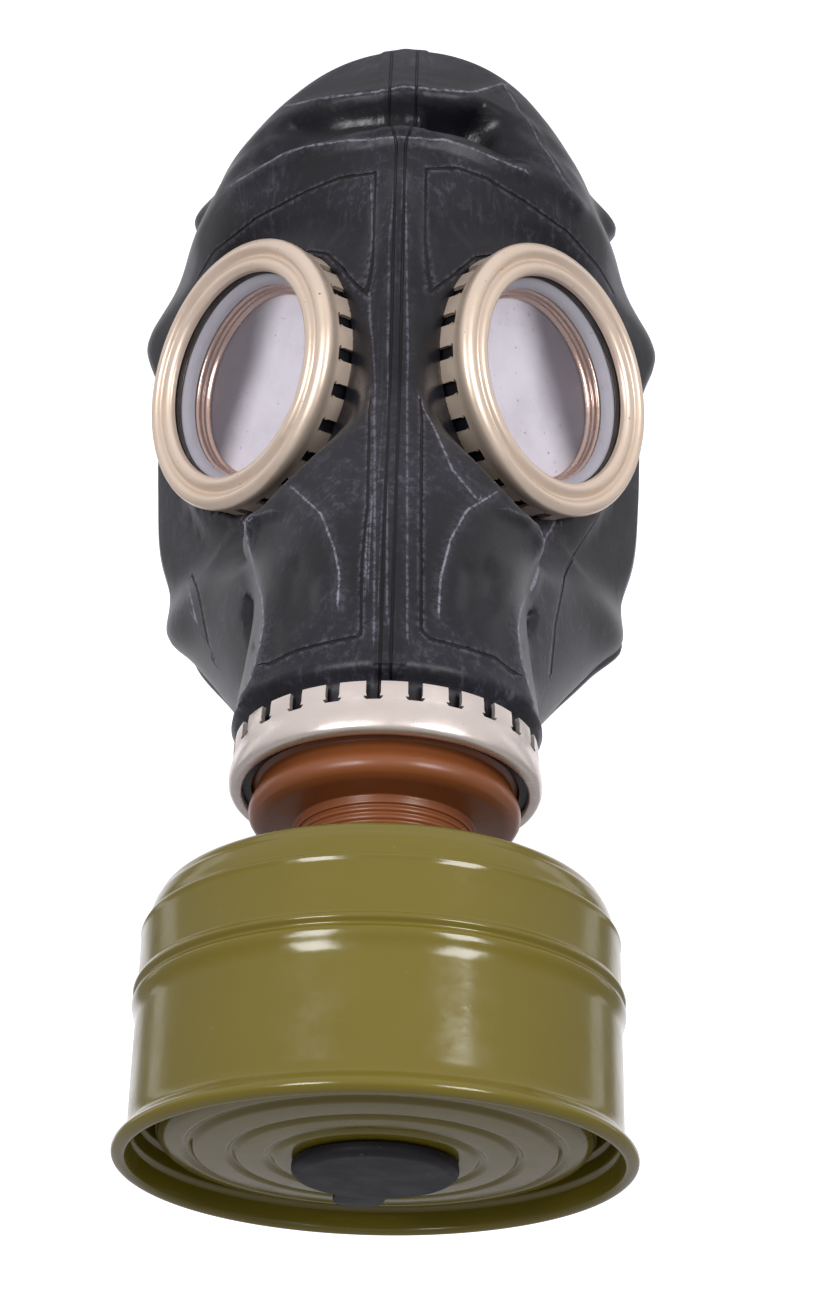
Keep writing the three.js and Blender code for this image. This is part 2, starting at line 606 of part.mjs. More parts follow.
// The canister: a filled sheet drum. Its top is domed up to a ring step, a bead is pressed round its
// side, the bottom edge is rolled, and the end plate is pressed into rings round the inlet.
function canister() {
  const [side, rim, roll] = [CAN_RADIUS, CAN_RIM_RADIUS, CAN_RIM_ROLL];
  const up = (height) => CAN_RIM_HEIGHT + height;
  const [bead, shoulder, groove] = [CAN_BEAD_HEIGHT, CAN_SIDE, rim - 2 * roll];
  const inlet = PLUG_STEM_RADIUS + SEAT_GAP;
  const plate = groove - 5.4;
  const drum = turned(
    [
      [0, up(CAN_RECESS)],
      [inlet, up(CAN_RECESS)],
      [inlet, up(PLATE_FACE)],
      [0.44 * plate, up(PLATE_FACE)],
      [0.5 * plate, up(PLATE_FACE + 1.4)],
      [0.57 * plate, up(PLATE_FACE)],
      [0.65 * plate, up(PLATE_FACE + 0.8)],
      [0.83 * plate, up(PLATE_FACE + 1.4)],
      [0.93 * plate, up(PLATE_FACE + 2.6)],
      [plate, up(PLATE_FACE + 5)],
      [plate + 0.4, up(CAN_RECESS)],
      [groove, up(CAN_RECESS)],
      [groove, up(0)],
      [rim - roll, up(-roll)],
      [rim - 0.3 * roll, up(-0.7 * roll)],
      [rim, up(0.2 * roll)],
      [side, up(2.2 * roll)],
      [side, up(bead - 3)],
      [side + CAN_BEAD_RISE, up(bead - 1)],
      [side + CAN_BEAD_RISE, up(bead + 1)],
      [side, up(bead + 3)],
      [side, up(shoulder)],
      [side - 1.3, up(shoulder + 1.2)],
      [CAN_STEP_RADIUS, up(shoulder + 0.76 * CAN_DOME)],
      [CAN_STEP_RADIUS - 3.6, up(shoulder + 0.95 * CAN_DOME)],
      [0.75 * CAN_STEP_RADIUS, up(shoulder + CAN_DOME)],
      [CAN_NECK_RADIUS, up(shoulder + CAN_DOME)],
      [CAN_NECK_RADIUS, up(shoulder + CAN_DOME + CAN_NECK_REACH)],
      [CAN_NECK_RADIUS - 2, up(shoulder + CAN_DOME + CAN_NECK_REACH)],
      [CAN_NECK_RADIUS - 2, up(shoulder + CAN_DOME - 2)],
      [0, up(shoulder + CAN_DOME - 2)],
    ],
    CAN_SIDES,
  );
  return drum;
}

// The rubber plug in the inlet, with its stem inside and its pull tab over the edge.
function inletPlug() {
  const up = (height) => CAN_RIM_HEIGHT + height;
  const face = PLATE_FACE - SEAT_GAP;
  const plug = turned(
    [
      [0, up(face - PLUG_THICKNESS)],
      [PLUG_RADIUS - 1.2, up(face - PLUG_THICKNESS)],
      [PLUG_RADIUS, up(face - PLUG_THICKNESS + 1)],
      [PLUG_RADIUS, up(face)],
      [PLUG_STEM_RADIUS, up(face)],
      [PLUG_STEM_RADIUS, up(CAN_RECESS - SEAT_GAP)],
      [0, up(CAN_RECESS - SEAT_GAP)],
    ],
  );
  const { width, reach, thickness } = PLUG_TAB;
  const outline = new THREE.Shape();
  outline.moveTo(-width / 2, 0);
  outline.lineTo(width / 2, 0);
  outline.lineTo(width / 2, PLUG_RADIUS + reach - 3);
  outline.quadraticCurveTo(width / 2, PLUG_RADIUS + reach, width / 2 - 4, PLUG_RADIUS + reach);
  outline.lineTo(4 - width / 2, PLUG_RADIUS + reach);
  outline.quadraticCurveTo(-width / 2, PLUG_RADIUS + reach, -width / 2, PLUG_RADIUS + reach - 3);
  const tab = new THREE.ExtrudeGeometry(outline, { depth: thickness, bevelEnabled: false, curveSegments: 3 });
  tab.rotateZ(PLUG_TAB.turn);
  tab.translate(0, 0, up(face - PLUG_THICKNESS + 0.4));
  return plug.add(solidOf(tab));
}

// The highest point inside the crown, on the middle plane, is the frame's origin.
function headSeat() {
  const tilt = new THREE.Matrix4().makeRotationX(-SPINE_TILT);
  let top = new THREE.Vector3(0, 0, -Infinity);
  const last = SECTIONS.length - 1;
  for (let k = 0; k <= 60; k++) {
    for (const turn of [0, Math.PI]) {
      const row = last - k / 12;
      const point = helmetPoint(row, turn);
      const inward = row < last ? helmetNormal(row, turn) : new THREE.Vector3(0, 0, 1);
      point.addScaledVector(inward, -WALL).applyMatrix4(tilt);
      if (point.z > top.z) top = point;
    }
  }
  return top;
}

const seat = headSeat();
const intoFrame = new THREE.Matrix4()
  .makeTranslation(0, -seat.y, -seat.z)
  .multiply(new THREE.Matrix4().makeRotationX(-SPINE_TILT));

const material = (hex, roughness, metalness, opacity = 1) =>
  new THREE.MeshStandardMaterial({ color: hex, roughness, metalness, opacity, transparent: opacity < 1 });
const RUBBER = material("#33323a", 0.5, 0);
const EYE_METAL = material("#cfbba6", 0.35, 1);
const BAND_METAL = material("#c8b9ac", 0.35, 1);
const MOULDING = material("#7d4628", 0.35, 0);
const ENAMEL = material("#7d7233", 0.2, 0);
const GLASS = material("#c8c4cc", 0.05, 0, 0.35);
const FILM = material("#9a97a0", 0.3, 0, 0.6);
const GASKET = material("#a9abb3", 0.4, 0);

const group = new THREE.Group();
group.name = "mask";

function add(name, solid, look) {
  const mesh = new THREE.Mesh(geometryOf(solid.transform(intoFrame.elements)), look);
  mesh.name = name;
  group.add(mesh);
}

add("helmet", buildHelmet(), RUBBER);
for (const [word, side] of [["left", 1], ["right", -1]]) {
  add(`eye_ring_${word}`, eyeRing(side), EYE_METAL);
  add(`lens_${word}`, lens(side), GLASS);
  add(`eye_gasket_${word}`, gasket(side), GASKET);
  add(`spring_ring_${word}`, springRing(side), EYE_METAL);
  add(`inner_lens_${word}`, innerLens(side), FILM);
}
add("valve_band", valveBand(), BAND_METAL);
add("valve_body", valveBody(), MOULDING);
add("canister", canister(), ENAMEL);
add("inlet_plug", inletPlug(), RUBBER);

export default group;
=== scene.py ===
# %% [markdown]
# # A gas mask style costume mask
# A whole-head mask of black moulded rubber with two round eyepieces, a valve housing clamped in its
# chin by a metal band, and a round olive canister screwed to the housing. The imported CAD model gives
# every piece its place. Here each piece gets the shape and surface that the photograph shows.

import math

import bmesh
import bpy
import numpy as np
from mathutils import Matrix, Vector


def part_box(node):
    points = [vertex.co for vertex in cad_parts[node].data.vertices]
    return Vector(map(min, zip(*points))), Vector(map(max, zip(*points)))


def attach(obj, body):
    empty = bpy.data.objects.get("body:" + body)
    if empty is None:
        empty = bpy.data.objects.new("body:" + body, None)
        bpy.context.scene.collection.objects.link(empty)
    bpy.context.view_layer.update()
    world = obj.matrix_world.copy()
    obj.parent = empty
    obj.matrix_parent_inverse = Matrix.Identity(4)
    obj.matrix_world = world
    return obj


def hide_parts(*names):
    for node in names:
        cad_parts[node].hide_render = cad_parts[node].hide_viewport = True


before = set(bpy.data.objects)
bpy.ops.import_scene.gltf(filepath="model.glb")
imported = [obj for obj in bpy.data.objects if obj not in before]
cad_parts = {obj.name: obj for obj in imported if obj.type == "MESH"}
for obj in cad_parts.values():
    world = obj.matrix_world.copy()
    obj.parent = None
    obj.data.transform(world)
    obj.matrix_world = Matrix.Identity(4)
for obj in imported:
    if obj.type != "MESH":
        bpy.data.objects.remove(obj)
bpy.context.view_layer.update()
MM = 0.001
print("CAD nodes:", sorted(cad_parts))

# %% [markdown]
# ## The spine
# Such a mask hangs straight down from the head, and its valve and canister point down and forward.
# So all of it is worked out along one straight spine, the axis of the valve and canister: z = 0 is
# the top of the valve band, +z runs up through the head, and -y is forward. Lengths are millimetres
# here and become metres when a mesh is made. The left lens, a plain disc in the CAD, ties the spine
# to the frame.

# %% Sizes and the spine's place in the frame
SPINE = 241
TILT = math.radians(28.4)
HEAD_REACH = 140
HEAD_HALF_WIDTH = 72
WALL = 2.2
BAND_RADIUS = 37.6
BAND_HEIGHT = 13
NECK_RADIUS = BAND_RADIUS - 1.5
EYE_SPREAD, EYE_BACK, EYE_HEIGHT = 43.3, 7.5, 0.487
EYE_YAW, EYE_DIP = math.radians(47.6), math.radians(9.4)
EYE_RADIUS, EYE_OPENING, EYE_DEPTH = 38.2, 29.1, 11
LENS_MIDDLE = -1.4  # from the ring's widest circle
CAN_RIM = -103.2  # middle of the canister's rolled rim, on the spine

turn_spine = Matrix.Rotation(-TILT, 4, "X")


def eye_axis(side):
    """The direction out of an eye, and the centre of its ring's widest circle."""
    out = Vector((
        side * math.sin(EYE_YAW) * math.cos(EYE_DIP),
        -math.cos(EYE_YAW) * math.cos(EYE_DIP),
        -math.sin(EYE_DIP),
    ))
    return out, Vector((side * EYE_SPREAD, EYE_BACK, EYE_HEIGHT * SPINE))


low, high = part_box("lens_left")
out, centre = eye_axis(1)
seat = turn_spine @ (centre + out * LENS_MIDDLE) - (low + high) / 2 / MM
SPINE_TO_FRAME = (
    Matrix.Scale(MM, 4) @ Matrix.Translation(-Vector((0, seat.y, seat.z))) @ turn_spine
)
print("the spine starts at", [round(c, 4) for c in SPINE_TO_FRAME.translation])

# %% [markdown]
# ## The camera, solved from the photograph
# The circles of the eyepieces and of the canister were fitted to the photograph. That gave a camera
# about 63 cm away, nearly level, at the height of the snout. The moulded lines below are placed by
# where this camera saw them, so its numbers come first.

# %% Camera numbers
PHOTO_WIDTH, PHOTO_HEIGHT = 827, 1300
FOCAL_PX = 2300
CAMERA_YAW, CAMERA_ROLL = math.radians(-0.4), math.radians(1.0)
CAMERA_FROM_EYES = Vector((10.2, -629.7, -74.7))

eyes = SPINE_TO_FRAME @ Vector((0, EYE_BACK, EYE_HEIGHT * SPINE))
camera_place = eyes + CAMERA_FROM_EYES * MM
forward = Vector((math.sin(CAMERA_YAW), math.cos(CAMERA_YAW), 0))
level = Vector((math.cos(CAMERA_YAW), -math.sin(CAMERA_YAW), 0))
right = math.cos(CAMERA_ROLL) * level + math.sin(CAMERA_ROLL) * level.cross(forward)
up = right.cross(forward)


def photo_pixels(points):
    """Where the photograph shows points of the frame, in its pixels, and how far away they are."""
    away = np.asarray(points) - np.array(camera_place)
    depth = away @ np.array(forward)
    across = PHOTO_WIDTH / 2 + FOCAL_PX * (away @ np.array(right)) / depth
    down = PHOTO_HEIGHT / 2 - FOCAL_PX * (away @ np.array(up)) / depth
    return np.stack([across, down], 1), depth


print("camera at", [round(c, 3) for c in camera_place])


# %% [markdown]
# ## Small tools
# Every round piece is a profile spun about its axis. A profile is a short list of corners, each
# with the radius of its rounding, as on a drawing for a metal spinner. The last helper turns a bmesh
# into an object in the frame.

# %% Profile, spin and object helpers
def rounded(corners, steps=4):
    """[radius, height, rounding] corners as a smooth list of profile points."""
    points = []
    for i, (r, z, rounding) in enumerate(corners):
        here = Vector((r, z))
        if not rounding or i in (0, len(corners) - 1):
            points.append(here)
            continue
        before, after = Vector(corners[i - 1][:2]), Vector(corners[i + 1][:2])
        near = here.lerp(before, min(0.5, rounding / max((before - here).length, 1e-6)))
        far = here.lerp(after, min(0.5, rounding / max((after - here).length, 1e-6)))
        for k in range(steps + 1):
            t = k / steps
            points.append(near.lerp(here, t).lerp(here.lerp(far, t), t))
    return points


def spun(points, steps):
    """A bmesh with the profile turned once round the z axis."""
    bm = bmesh.new()
    verts = [bm.verts.new((p[0], 0, p[1])) for p in points]
    edges = [bm.edges.new(pair) for pair in zip(verts, verts[1:])]
    bmesh.ops.spin(
        bm, geom=verts + edges, cent=(0, 0, 0), axis=(0, 0, 1),
        angle=2 * math.pi, steps=steps, use_merge=True,
    )
    bmesh.ops.remove_doubles(bm, verts=bm.verts, dist=1e-4)
    return bm


def face_outwards(bm):
    """Turns every face outwards, judged by the sign of the whole volume."""
    bmesh.ops.recalc_face_normals(bm, faces=bm.faces)
    if bm.calc_volume(signed=True) < 0:
        bmesh.ops.reverse_faces(bm, faces=bm.faces)


def eye_place(side):
    out, centre = eye_axis(side)
    turn = Vector((0, 0, 1)).rotation_difference(out)
    return Matrix.Translation(centre) @ turn.to_matrix().to_4x4()


SHARP_ANGLE = math.radians(50)


def finished(name, bm, material, replaces, place=None):
    """Puts a bmesh made in spine millimetres into the frame, smooth but for its corners."""
    for e in bm.edges:
        e.smooth = e.calc_face_angle(0) < SHARP_ANGLE
    bm.transform(SPINE_TO_FRAME @ (place or Matrix.Identity(4)))
    mesh = bpy.data.meshes.new(name)
    bm.to_mesh(mesh)
    bm.free()
    mesh.materials.append(material)
    mesh.polygons.foreach_set("use_smooth", [True] * len(mesh.polygons))
    obj = bpy.data.objects.new(name, mesh)
    bpy.context.collection.objects.link(obj)
    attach(obj, "root")
    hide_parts(replaces)
    print(name, len(mesh.polygons), "faces")
    return obj

print("smooth below", round(math.degrees(SHARP_ANGLE)), "degrees")

# %% [markdown]
# ## Surfaces
# The rubber is old: near black, dusty on its raised parts, with pale scuffs along some ridges and glossy
# in its hollows; the pale lines along the snout and cheek edges are painted highlights. The eyepieces
# are champagne anodised aluminium, the valve band is brushed, the housing is brown moulding and the
# canister is glossy olive enamel. The inner lenses carry painted shade towards the temple and the top.
# All patterns are procedural and are measured in real sizes.

# %% Materials
def srgb(code):
    """An sRGB hex colour as linear RGBA."""
    parts = [int(code[i : i + 2], 16) / 255 for i in (1, 3, 5)]
    linear = [c / 12.92 if c <= 0.04045 else ((c + 0.055) / 1.055) ** 2.4 for c in parts]
    return (*linear, 1)


def add(tree, kind, sockets=None, **settings):
    """A shader node with its settings, its socket values and the links into it."""
    n = tree.nodes.new(kind)
    for key, value in settings.items():
        setattr(n, key, value)
    for key, value in (sockets or {}).items():
        if isinstance(value, bpy.types.NodeSocket):
            tree.links.new(value, n.inputs[key])
        else:
            n.inputs[key].default_value = value
    return n


def new_material(name):
    """An empty material with its output node and Object coordinates."""
    material = bpy.data.materials.new(name)
    material.use_nodes = True
    tree = material.node_tree
    tree.nodes.clear()
    output = add(tree, "ShaderNodeOutputMaterial")
    where = add(tree, "ShaderNodeTexCoord").outputs["Object"]
    return material, tree, output, where


def noise(tree, where, size_mm, detail=4.0, roughness=0.55, stretch=(1, 1, 1)):
    """Noise whose features are size_mm across, from 0 to 1."""
    mapped = add(tree, "ShaderNodeMapping", {"Vector": where, "Scale": stretch}).outputs[0]
    return add(tree, "ShaderNodeTexNoise", {
        "Vector": mapped, "Scale": 1 / (size_mm * MM), "Detail": detail, "Roughness": roughness,
    }).outputs[0]


def remap(tree, value, from_min, from_max, to_min=0.0, to_max=1.0):
    return add(tree, "ShaderNodeMapRange", {
        0: value, 1: from_min, 2: from_max, 3: to_min, 4: to_max,
    }, interpolation_type="SMOOTHSTEP").outputs[0]


def math_node(tree, operation, a, b=0.0, clamp=False):
    return add(tree, "ShaderNodeMath", {0: a, 1: b}, operation=operation, use_clamp=clamp).outputs[0]


def mix_colour(tree, share, a, b):
    return add(tree, "ShaderNodeMix", {0: share, 6: a, 7: b}, data_type="RGBA").outputs[2]


# aged rubber: attributes carry the distance to the moulded lines and the pale ridges, which are scuffs
# and, on the snout and cheek edges, painted highlights, with and without the sign of the side, and
# how pale and how glossy the rubber is
rubber, tree, output, where = new_material("aged_black_rubber")
line_side, line_away, ridge_side, ridge_away, pale, gloss = (
    add(tree, "ShaderNodeAttribute", attribute_name=name).outputs["Fac"]
    for name in ("line_side", "line_away", "ridge_side", "ridge_away", "pale", "gloss")
)
patches = remap(tree, noise(tree, where, 38, 5, 0.6), 0.42, 0.68)
scuffs = remap(tree, noise(tree, where, 3.2, 6, 0.72), 0.50, 0.72)
streaks = remap(tree, noise(tree, where, 5, 5, 0.7, (2.6, 2.6, 0.45)), 0.5, 0.74)
broken = remap(tree, noise(tree, where, 1.6, 3, 0.7), 0.40, 0.60)
dust_and_highlight = math_node(tree, "MULTIPLY", patches, math_node(tree, "ADD", scuffs, streaks))
dust_and_highlight = math_node(tree, "MULTIPLY", dust_and_highlight, remap(tree, gloss, 0, 1, 0.45, 0.0))
on_ridges = math_node(tree, "MULTIPLY", pale, remap(tree, broken, 0, 1, 0.10, 0.45))
# a thin pale line on each ridge: scuffing on most ridges, a painted highlight on the snout and cheek
# edges
scuff_and_highlight_line = remap(tree, math_node(tree, "ABSOLUTE", ridge_side), 0.10, 0.45, 1.0, 0.0)
scuff_and_highlight_line = math_node(tree, "MULTIPLY", scuff_and_highlight_line, remap(tree, ridge_away, 1.2, 2.0, 1.0, 0.0))
broken_paleness = math_node(tree, "MULTIPLY", pale, remap(tree, broken, 0, 1, 0.5, 2.0))
scuff_and_highlight_line = math_node(tree, "MULTIPLY", scuff_and_highlight_line, broken_paleness)
on_ridges = math_node(tree, "MAXIMUM", on_ridges, scuff_and_highlight_line)
dust_and_highlight = math_node(tree, "ADD", dust_and_highlight, on_ridges, clamp=True)
axes = add(tree, "ShaderNodeSeparateXYZ", {0: where}).outputs
seam_half = remap(tree, axes["Z"], -0.038, -0.025, 1.25 * MM, 3.7 * MM)
seam_away = math_node(tree, "SUBTRACT", math_node(tree, "ABSOLUTE", axes["X"]), seam_half)
seam_away = math_node(tree, "ABSOLUTE", seam_away)
seam_cut = remap(tree, seam_away, 0.15 * MM, 0.5 * MM, 1.0, 0.0)
panel_cut = remap(tree, math_node(tree, "ABSOLUTE", line_side), 0.12, 0.50, 1.0, 0.0)
panel_cut = math_node(tree, "MULTIPLY", panel_cut, remap(tree, line_away, 1.4, 2.2, 1.0, 0.0))
cut_line = math_node(tree, "MAXIMUM", seam_cut, panel_cut)
edge_dust = remap(tree, math_node(tree, "ABSOLUTE", line_side), 0.5, 1.5, 0.35, 0.0)
edge_dust = math_node(tree, "MULTIPLY", edge_dust, remap(tree, line_away, 1.2, 2.0, 1.0, 0.0))
dust_and_highlight = math_node(tree, "ADD", dust_and_highlight, math_node(tree, "MULTIPLY", edge_dust, broken), clamp=True)
tone = mix_colour(tree, patches, srgb("#131318"), srgb("#1e1d25"))
# the pale mix carries the dusty patches, the scuffs and the painted highlights of the snout and cheek
# edges
colour = mix_colour(tree, dust_and_highlight, tone, srgb("#5f5c67"))
# painted highlight: the thin ridge lines turn a light lilac grey, most strongly on the snout and cheek
# edges
scuff_and_highlight_line = math_node(tree, "MULTIPLY", scuff_and_highlight_line, 0.28, clamp=True)
colour = mix_colour(tree, scuff_and_highlight_line, colour, srgb("#aaa6b2"))
colour = mix_colour(tree, cut_line, colour, srgb("#050506"))
grain = noise(tree, where, 0.9, 3, 0.6)
height = math_node(tree, "MULTIPLY", cut_line, -0.55)
height = math_node(tree, "ADD", height, math_node(tree, "MULTIPLY", grain, 0.035))
height = math_node(tree, "ADD", height, math_node(tree, "MULTIPLY", scuffs, 0.03))
bump = add(tree, "ShaderNodeBump", {"Height": height, "Distance": MM, "Strength": 1.0})
rough = remap(tree, dust_and_highlight, 0, 1, 0.38, 0.64)
rough = math_node(tree, "SUBTRACT", rough, math_node(tree, "MULTIPLY", gloss, 0.26))
skin = add(tree, "ShaderNodeBsdfPrincipled", {
    "Base Color": colour, "Roughness": rough, "Normal": bump.outputs[0], "Specular IOR Level": 0.28,
})
tree.links.new(skin.outputs[0], output.inputs[0])


def metal(name, code, second, roughness, stretch, speck, metallic=0.8):
    """Soft aluminium: two close tones, fine turning marks, and small dark specks of dirt."""
    material, tree, output, where = new_material(name)
    tone = mix_colour(tree, noise(tree, where, 22, 3, 0.5), srgb(code), srgb(second))
    specks = remap(tree, noise(tree, where, 1.1, 2, 0.5), speck, speck + 0.03)
    tone = mix_colour(tree, specks, tone, srgb("#6b5442"))
    marks = noise(tree, where, 1.2, 4, 0.6, stretch)
    rough = remap(tree, noise(tree, where, 6, 4, 0.6), 0.3, 0.7, roughness - 0.05, roughness + 0.08)
    bump = add(tree, "ShaderNodeBump", {"Height": marks, "Distance": 0.03 * MM, "Strength": 0.6})
    skin = add(tree, "ShaderNodeBsdfPrincipled", {
        "Base Color": tone, "Metallic": metallic, "Roughness": rough, "Normal": bump.outputs[0],
    })
    tree.links.new(skin.outputs[0], output.inputs[0])
    return material


def moulded(name, code, second, roughness, size_mm, dusty, specular=0.5):
    """A moulded or painted skin: two close tones, a light orange peel, and a little dusty speckling."""
    material, tree, output, where = new_material(name)
    tone = mix_colour(tree, noise(tree, where, size_mm, 3, 0.5), srgb(code), srgb(second))
    specks = remap(tree, noise(tree, where, 1.4, 3, 0.6), 0.70 - 0.1 * dusty, 0.74)
    tone = mix_colour(tree, math_node(tree, "MULTIPLY", specks, dusty), tone, srgb("#9a958c"))
    peel = noise(tree, where, 2.5, 2, 0.4)
    bump = add(tree, "ShaderNodeBump", {"Height": peel, "Distance": 0.04 * MM, "Strength": 0.5})
    rough = remap(tree, noise(tree, where, 9, 4, 0.6), 0.3, 0.7, roughness, roughness + 0.1)
    skin = add(tree, "ShaderNodeBsdfPrincipled", {
        "Base Color": tone, "Roughness": rough, "Normal": bump.outputs[0],
        "Specular IOR Level": specular,
    })
    tree.links.new(skin.outputs[0], output.inputs[0])
    return material


eye_metal = metal("champagne_anodised_aluminium", "#e2d0c1", "#d9c4ae", 0.36, (1, 1, 1), 0.74, 0.6)
spring_metal = metal("pink_gold_spring_metal", "#dcbdb0", "#cfae98", 0.22, (1, 1, 1), 0.78)
band_metal = metal("brushed_band_aluminium", "#dfd5ce", "#d3c6be", 0.30, (0.3, 0.3, 3.0), 0.78, 0.8)
housing = moulded("brown_moulding", "#824a28", "#744020", 0.28, 30, 0.2)
enamel = moulded("olive_enamel", "#6c6018", "#625714", 0.12, 45, 0.1)
grey_rubber = moulded("grey_gasket_rubber", "#c2c1c8", "#b3b2b9", 0.38, 20, 0.1)
plug_rubber = moulded("black_plug_rubber", "#151317", "#1c191e", 0.52, 6, 0.25, 0.3)

# clear glass with a little dirt: mostly see-through, so that light reaches what lies behind it
glass, tree, output, where = new_material("dusty_clear_glass")
dirt = remap(tree, noise(tree, where, 1.3, 3, 0.6), 0.70, 0.76, 0.0, 0.55)
haze = remap(tree, noise(tree, where, 14, 5, 0.6), 0.4, 0.75, 0.02, 0.10)
clear = add(tree, "ShaderNodeBsdfTransparent", {"Color": (0.96, 0.955, 0.965, 1)})
shine = add(tree, "ShaderNodeBsdfGlossy", {"Roughness": 0.03})
leaving = add(tree, "ShaderNodeNewGeometry").outputs["Backfacing"]
fresnel = add(tree, "ShaderNodeFresnel", {"IOR": 1.5}).outputs[0]
mirror = math_node(tree, "MULTIPLY", fresnel, math_node(tree, "SUBTRACT", 1.0, leaving))
pane = add(tree, "ShaderNodeMixShader", {0: mirror, 1: clear.outputs[0], 2: shine.outputs[0]})
grime = add(tree, "ShaderNodeBsdfDiffuse", {"Color": srgb("#8d8890")})
share = math_node(tree, "ADD", dirt, haze, clamp=True)
pane = add(tree, "ShaderNodeMixShader", {0: share, 1: pane.outputs[0], 2: grime.outputs[0]})
tree.links.new(pane.outputs[0], output.inputs[0])

# the inner lens is hazy and pale; painted shade dims it towards the temple and the top, where the ring's
# rim would shade the sunken film
film, tree, output, where = new_material("hazy_inner_lens_painted_shade")
side = add(tree, "ShaderNodeSeparateXYZ", {0: where}).outputs
away = math_node(tree, "ABSOLUTE", side["X"])
lean = math_node(tree, "ADD", away, math_node(tree, "MULTIPLY", side["Z"], 0.28))
wavy = math_node(tree, "MULTIPLY", noise(tree, where, 30, 3, 0.5), 0.006)
# painted shade: the film darkens across a soft, wavy edge towards the temple and the top
shade = remap(tree, math_node(tree, "ADD", lean, wavy), 0.011, 0.021)
tone = mix_colour(tree, shade, srgb("#fbf8ff"), srgb("#6a636b"))
specks = remap(tree, noise(tree, where, 1.2, 2, 0.5), 0.72, 0.75)
tone = mix_colour(tree, specks, tone, srgb("#4b464c"))
rough = remap(tree, noise(tree, where, 8, 4, 0.6), 0.3, 0.7, 0.30, 0.45)
skin = add(tree, "ShaderNodeBsdfPrincipled", {"Base Color": tone, "Roughness": rough})
tree.links.new(skin.outputs[0], output.inputs[0])
print("materials:", len(bpy.data.materials))

# %% [markdown]
# ## The rubber helmet: its loft
# A helmet like this is moulded in one piece. It is lofted here through cross-sections square to the
# spine, from the round valve neck up to the back of the crown, the same way as in the CAD. Each
# section is the larger of a head and a muzzle. Where the two meet, the cheeks fold.

# %% Sections and the loft
COLUMNS = ("height", "core", "front", "back", "widest", "half", "full", "muzzle", "muzzle_half")
SECTIONS = np.array([
    (-0.058, 0, 0.14, 0.14, 0, 0.28, 2, 0.97, 0.97),
    (-0.002, 0, 0.14, 0.17, 0.01, 0.33, 2, 0.97, 0.97),
    (0.025, 0, 0.15, 0.21, 0.03, 0.42, 2, 1.045, 1.045),
    (0.083, 0, 0.15, 0.31, 0.2, 0.52, 2, 1.03, 1.0),
    (0.158, 0.02, 0.14, 0.44, 0.32, 0.645, 1.8, 0.965, 0.965),
    (0.241, 0.057, 0.1, 0.59, 0.44, 0.785, 1.6, 0.83, 1.01),
    (0.324, 0.1, 0.06, 0.74, 0.51, 0.87, 1.35, 0.65, 1.09),
    (0.407, 0.114, 0.07, 0.875, 0.525, 0.975, 1.15, 0.51, 0.84),
    (0.49, 0.114, 0.12, 0.957, 0.5, 1, 1.12, 0.575, 0.4),
    (0.573, 0.129, 0.155, 0.99, 0.445, 1, 1.15, 0.69, 0.4),
    (0.647, 0.15, 0.17, 0.98, 0.415, 0.995, 1.35, 0.715, 0.37),
    (0.715, 0.18, 0.16, 0.943, 0.4, 0.97, 1.7, 0.5, 0.14),
    (0.755, 0.2, 0.137, 0.905, 0.39, 0.935, 1.9, 0.3, 0.1),
    (0.786, 0.215, 0.12, 0.87, 0.38, 0.9, 2, 0.2, 0.1),
    (0.815, 0.228, 0.107, 0.83, 0.37, 0.845, 2, 0.1, 0.1),
    (0.85, 0.24, 0.092, 0.78, 0.36, 0.79, 2, 0, 0.1),
    (0.9, 0.258, 0.06, 0.69, 0.335, 0.68, 2, 0, 0.1),
    (0.945, 0.272, 0.005, 0.59, 0.31, 0.54, 2, -0.2, 0.1),
    (0.984, 0.283, -0.12, 0.44, 0.288, 0.3, 2, -0.6, 0.1),
    (1, 0.285, -0.285, 0.285, 0.285, 0, 2, -1.1, 0),
])
LAST = len(SECTIONS) - 1


def column(name, row):
    """One named column of SECTIONS at fractional rows, on a smooth curve through the rows."""
    values = SECTIONS[:, COLUMNS.index(name)]
    i = np.clip(np.floor(row).astype(int), 0, LAST - 1)
    t = row - i
    a, b, c, d = (values[np.clip(i + k, 0, LAST)] for k in (-1, 0, 1, 2))
    bend = 2 * a - 5 * b + 4 * c - d
    return 0.5 * (2 * b + (c - a) * t + bend * t**2 + (3 * b - a - 3 * c + d) * t**3)


def section_reach(row, turn):
    """How far a section reaches from its core in a direction."""
    side, ahead_share = np.sin(turn), np.cos(turn)
    core, front, back, widest = (
        column(n, row) * HEAD_REACH for n in ("core", "front", "back", "widest")
    )
    half = np.maximum(column("half", row) * HEAD_HALF_WIDTH, 1e-6)
    full = np.maximum(column("full", row), 1)
    near, far = np.zeros_like(row), np.full_like(row, 2.0 * HEAD_REACH)
    for _ in range(30):
        middle = (near + far) / 2
        ahead = -core + middle * ahead_share + widest
        length = np.where(ahead > 0, front + widest, back - widest)
        power = np.where(ahead > 0, full, 2)
        outside = (np.abs(ahead) / length) ** power + np.abs(middle * side / half) ** power > 1
        near, far = np.where(outside, near, middle), np.where(outside, middle, far)
    muzzle_front = column("muzzle", row) * NECK_RADIUS + core
    muzzle_half = column("muzzle_half", row) * NECK_RADIUS
    length = np.where(ahead_share > 0, muzzle_front, muzzle_half)
    has_muzzle = (muzzle_front > 0) & (muzzle_half > 0)
    safe = np.where(has_muzzle, length, 1)
    muzzle = 1 / np.hypot(ahead_share / safe, side / np.where(has_muzzle, muzzle_half, 1))
    blend = 0.06 * NECK_RADIUS
    close = np.maximum(blend - np.abs(near - muzzle), 0) / blend
    joined = np.maximum(near, muzzle) + close**2 * blend / 4
    return np.where(has_muzzle, joined, near)


print("sections:", len(SECTIONS))

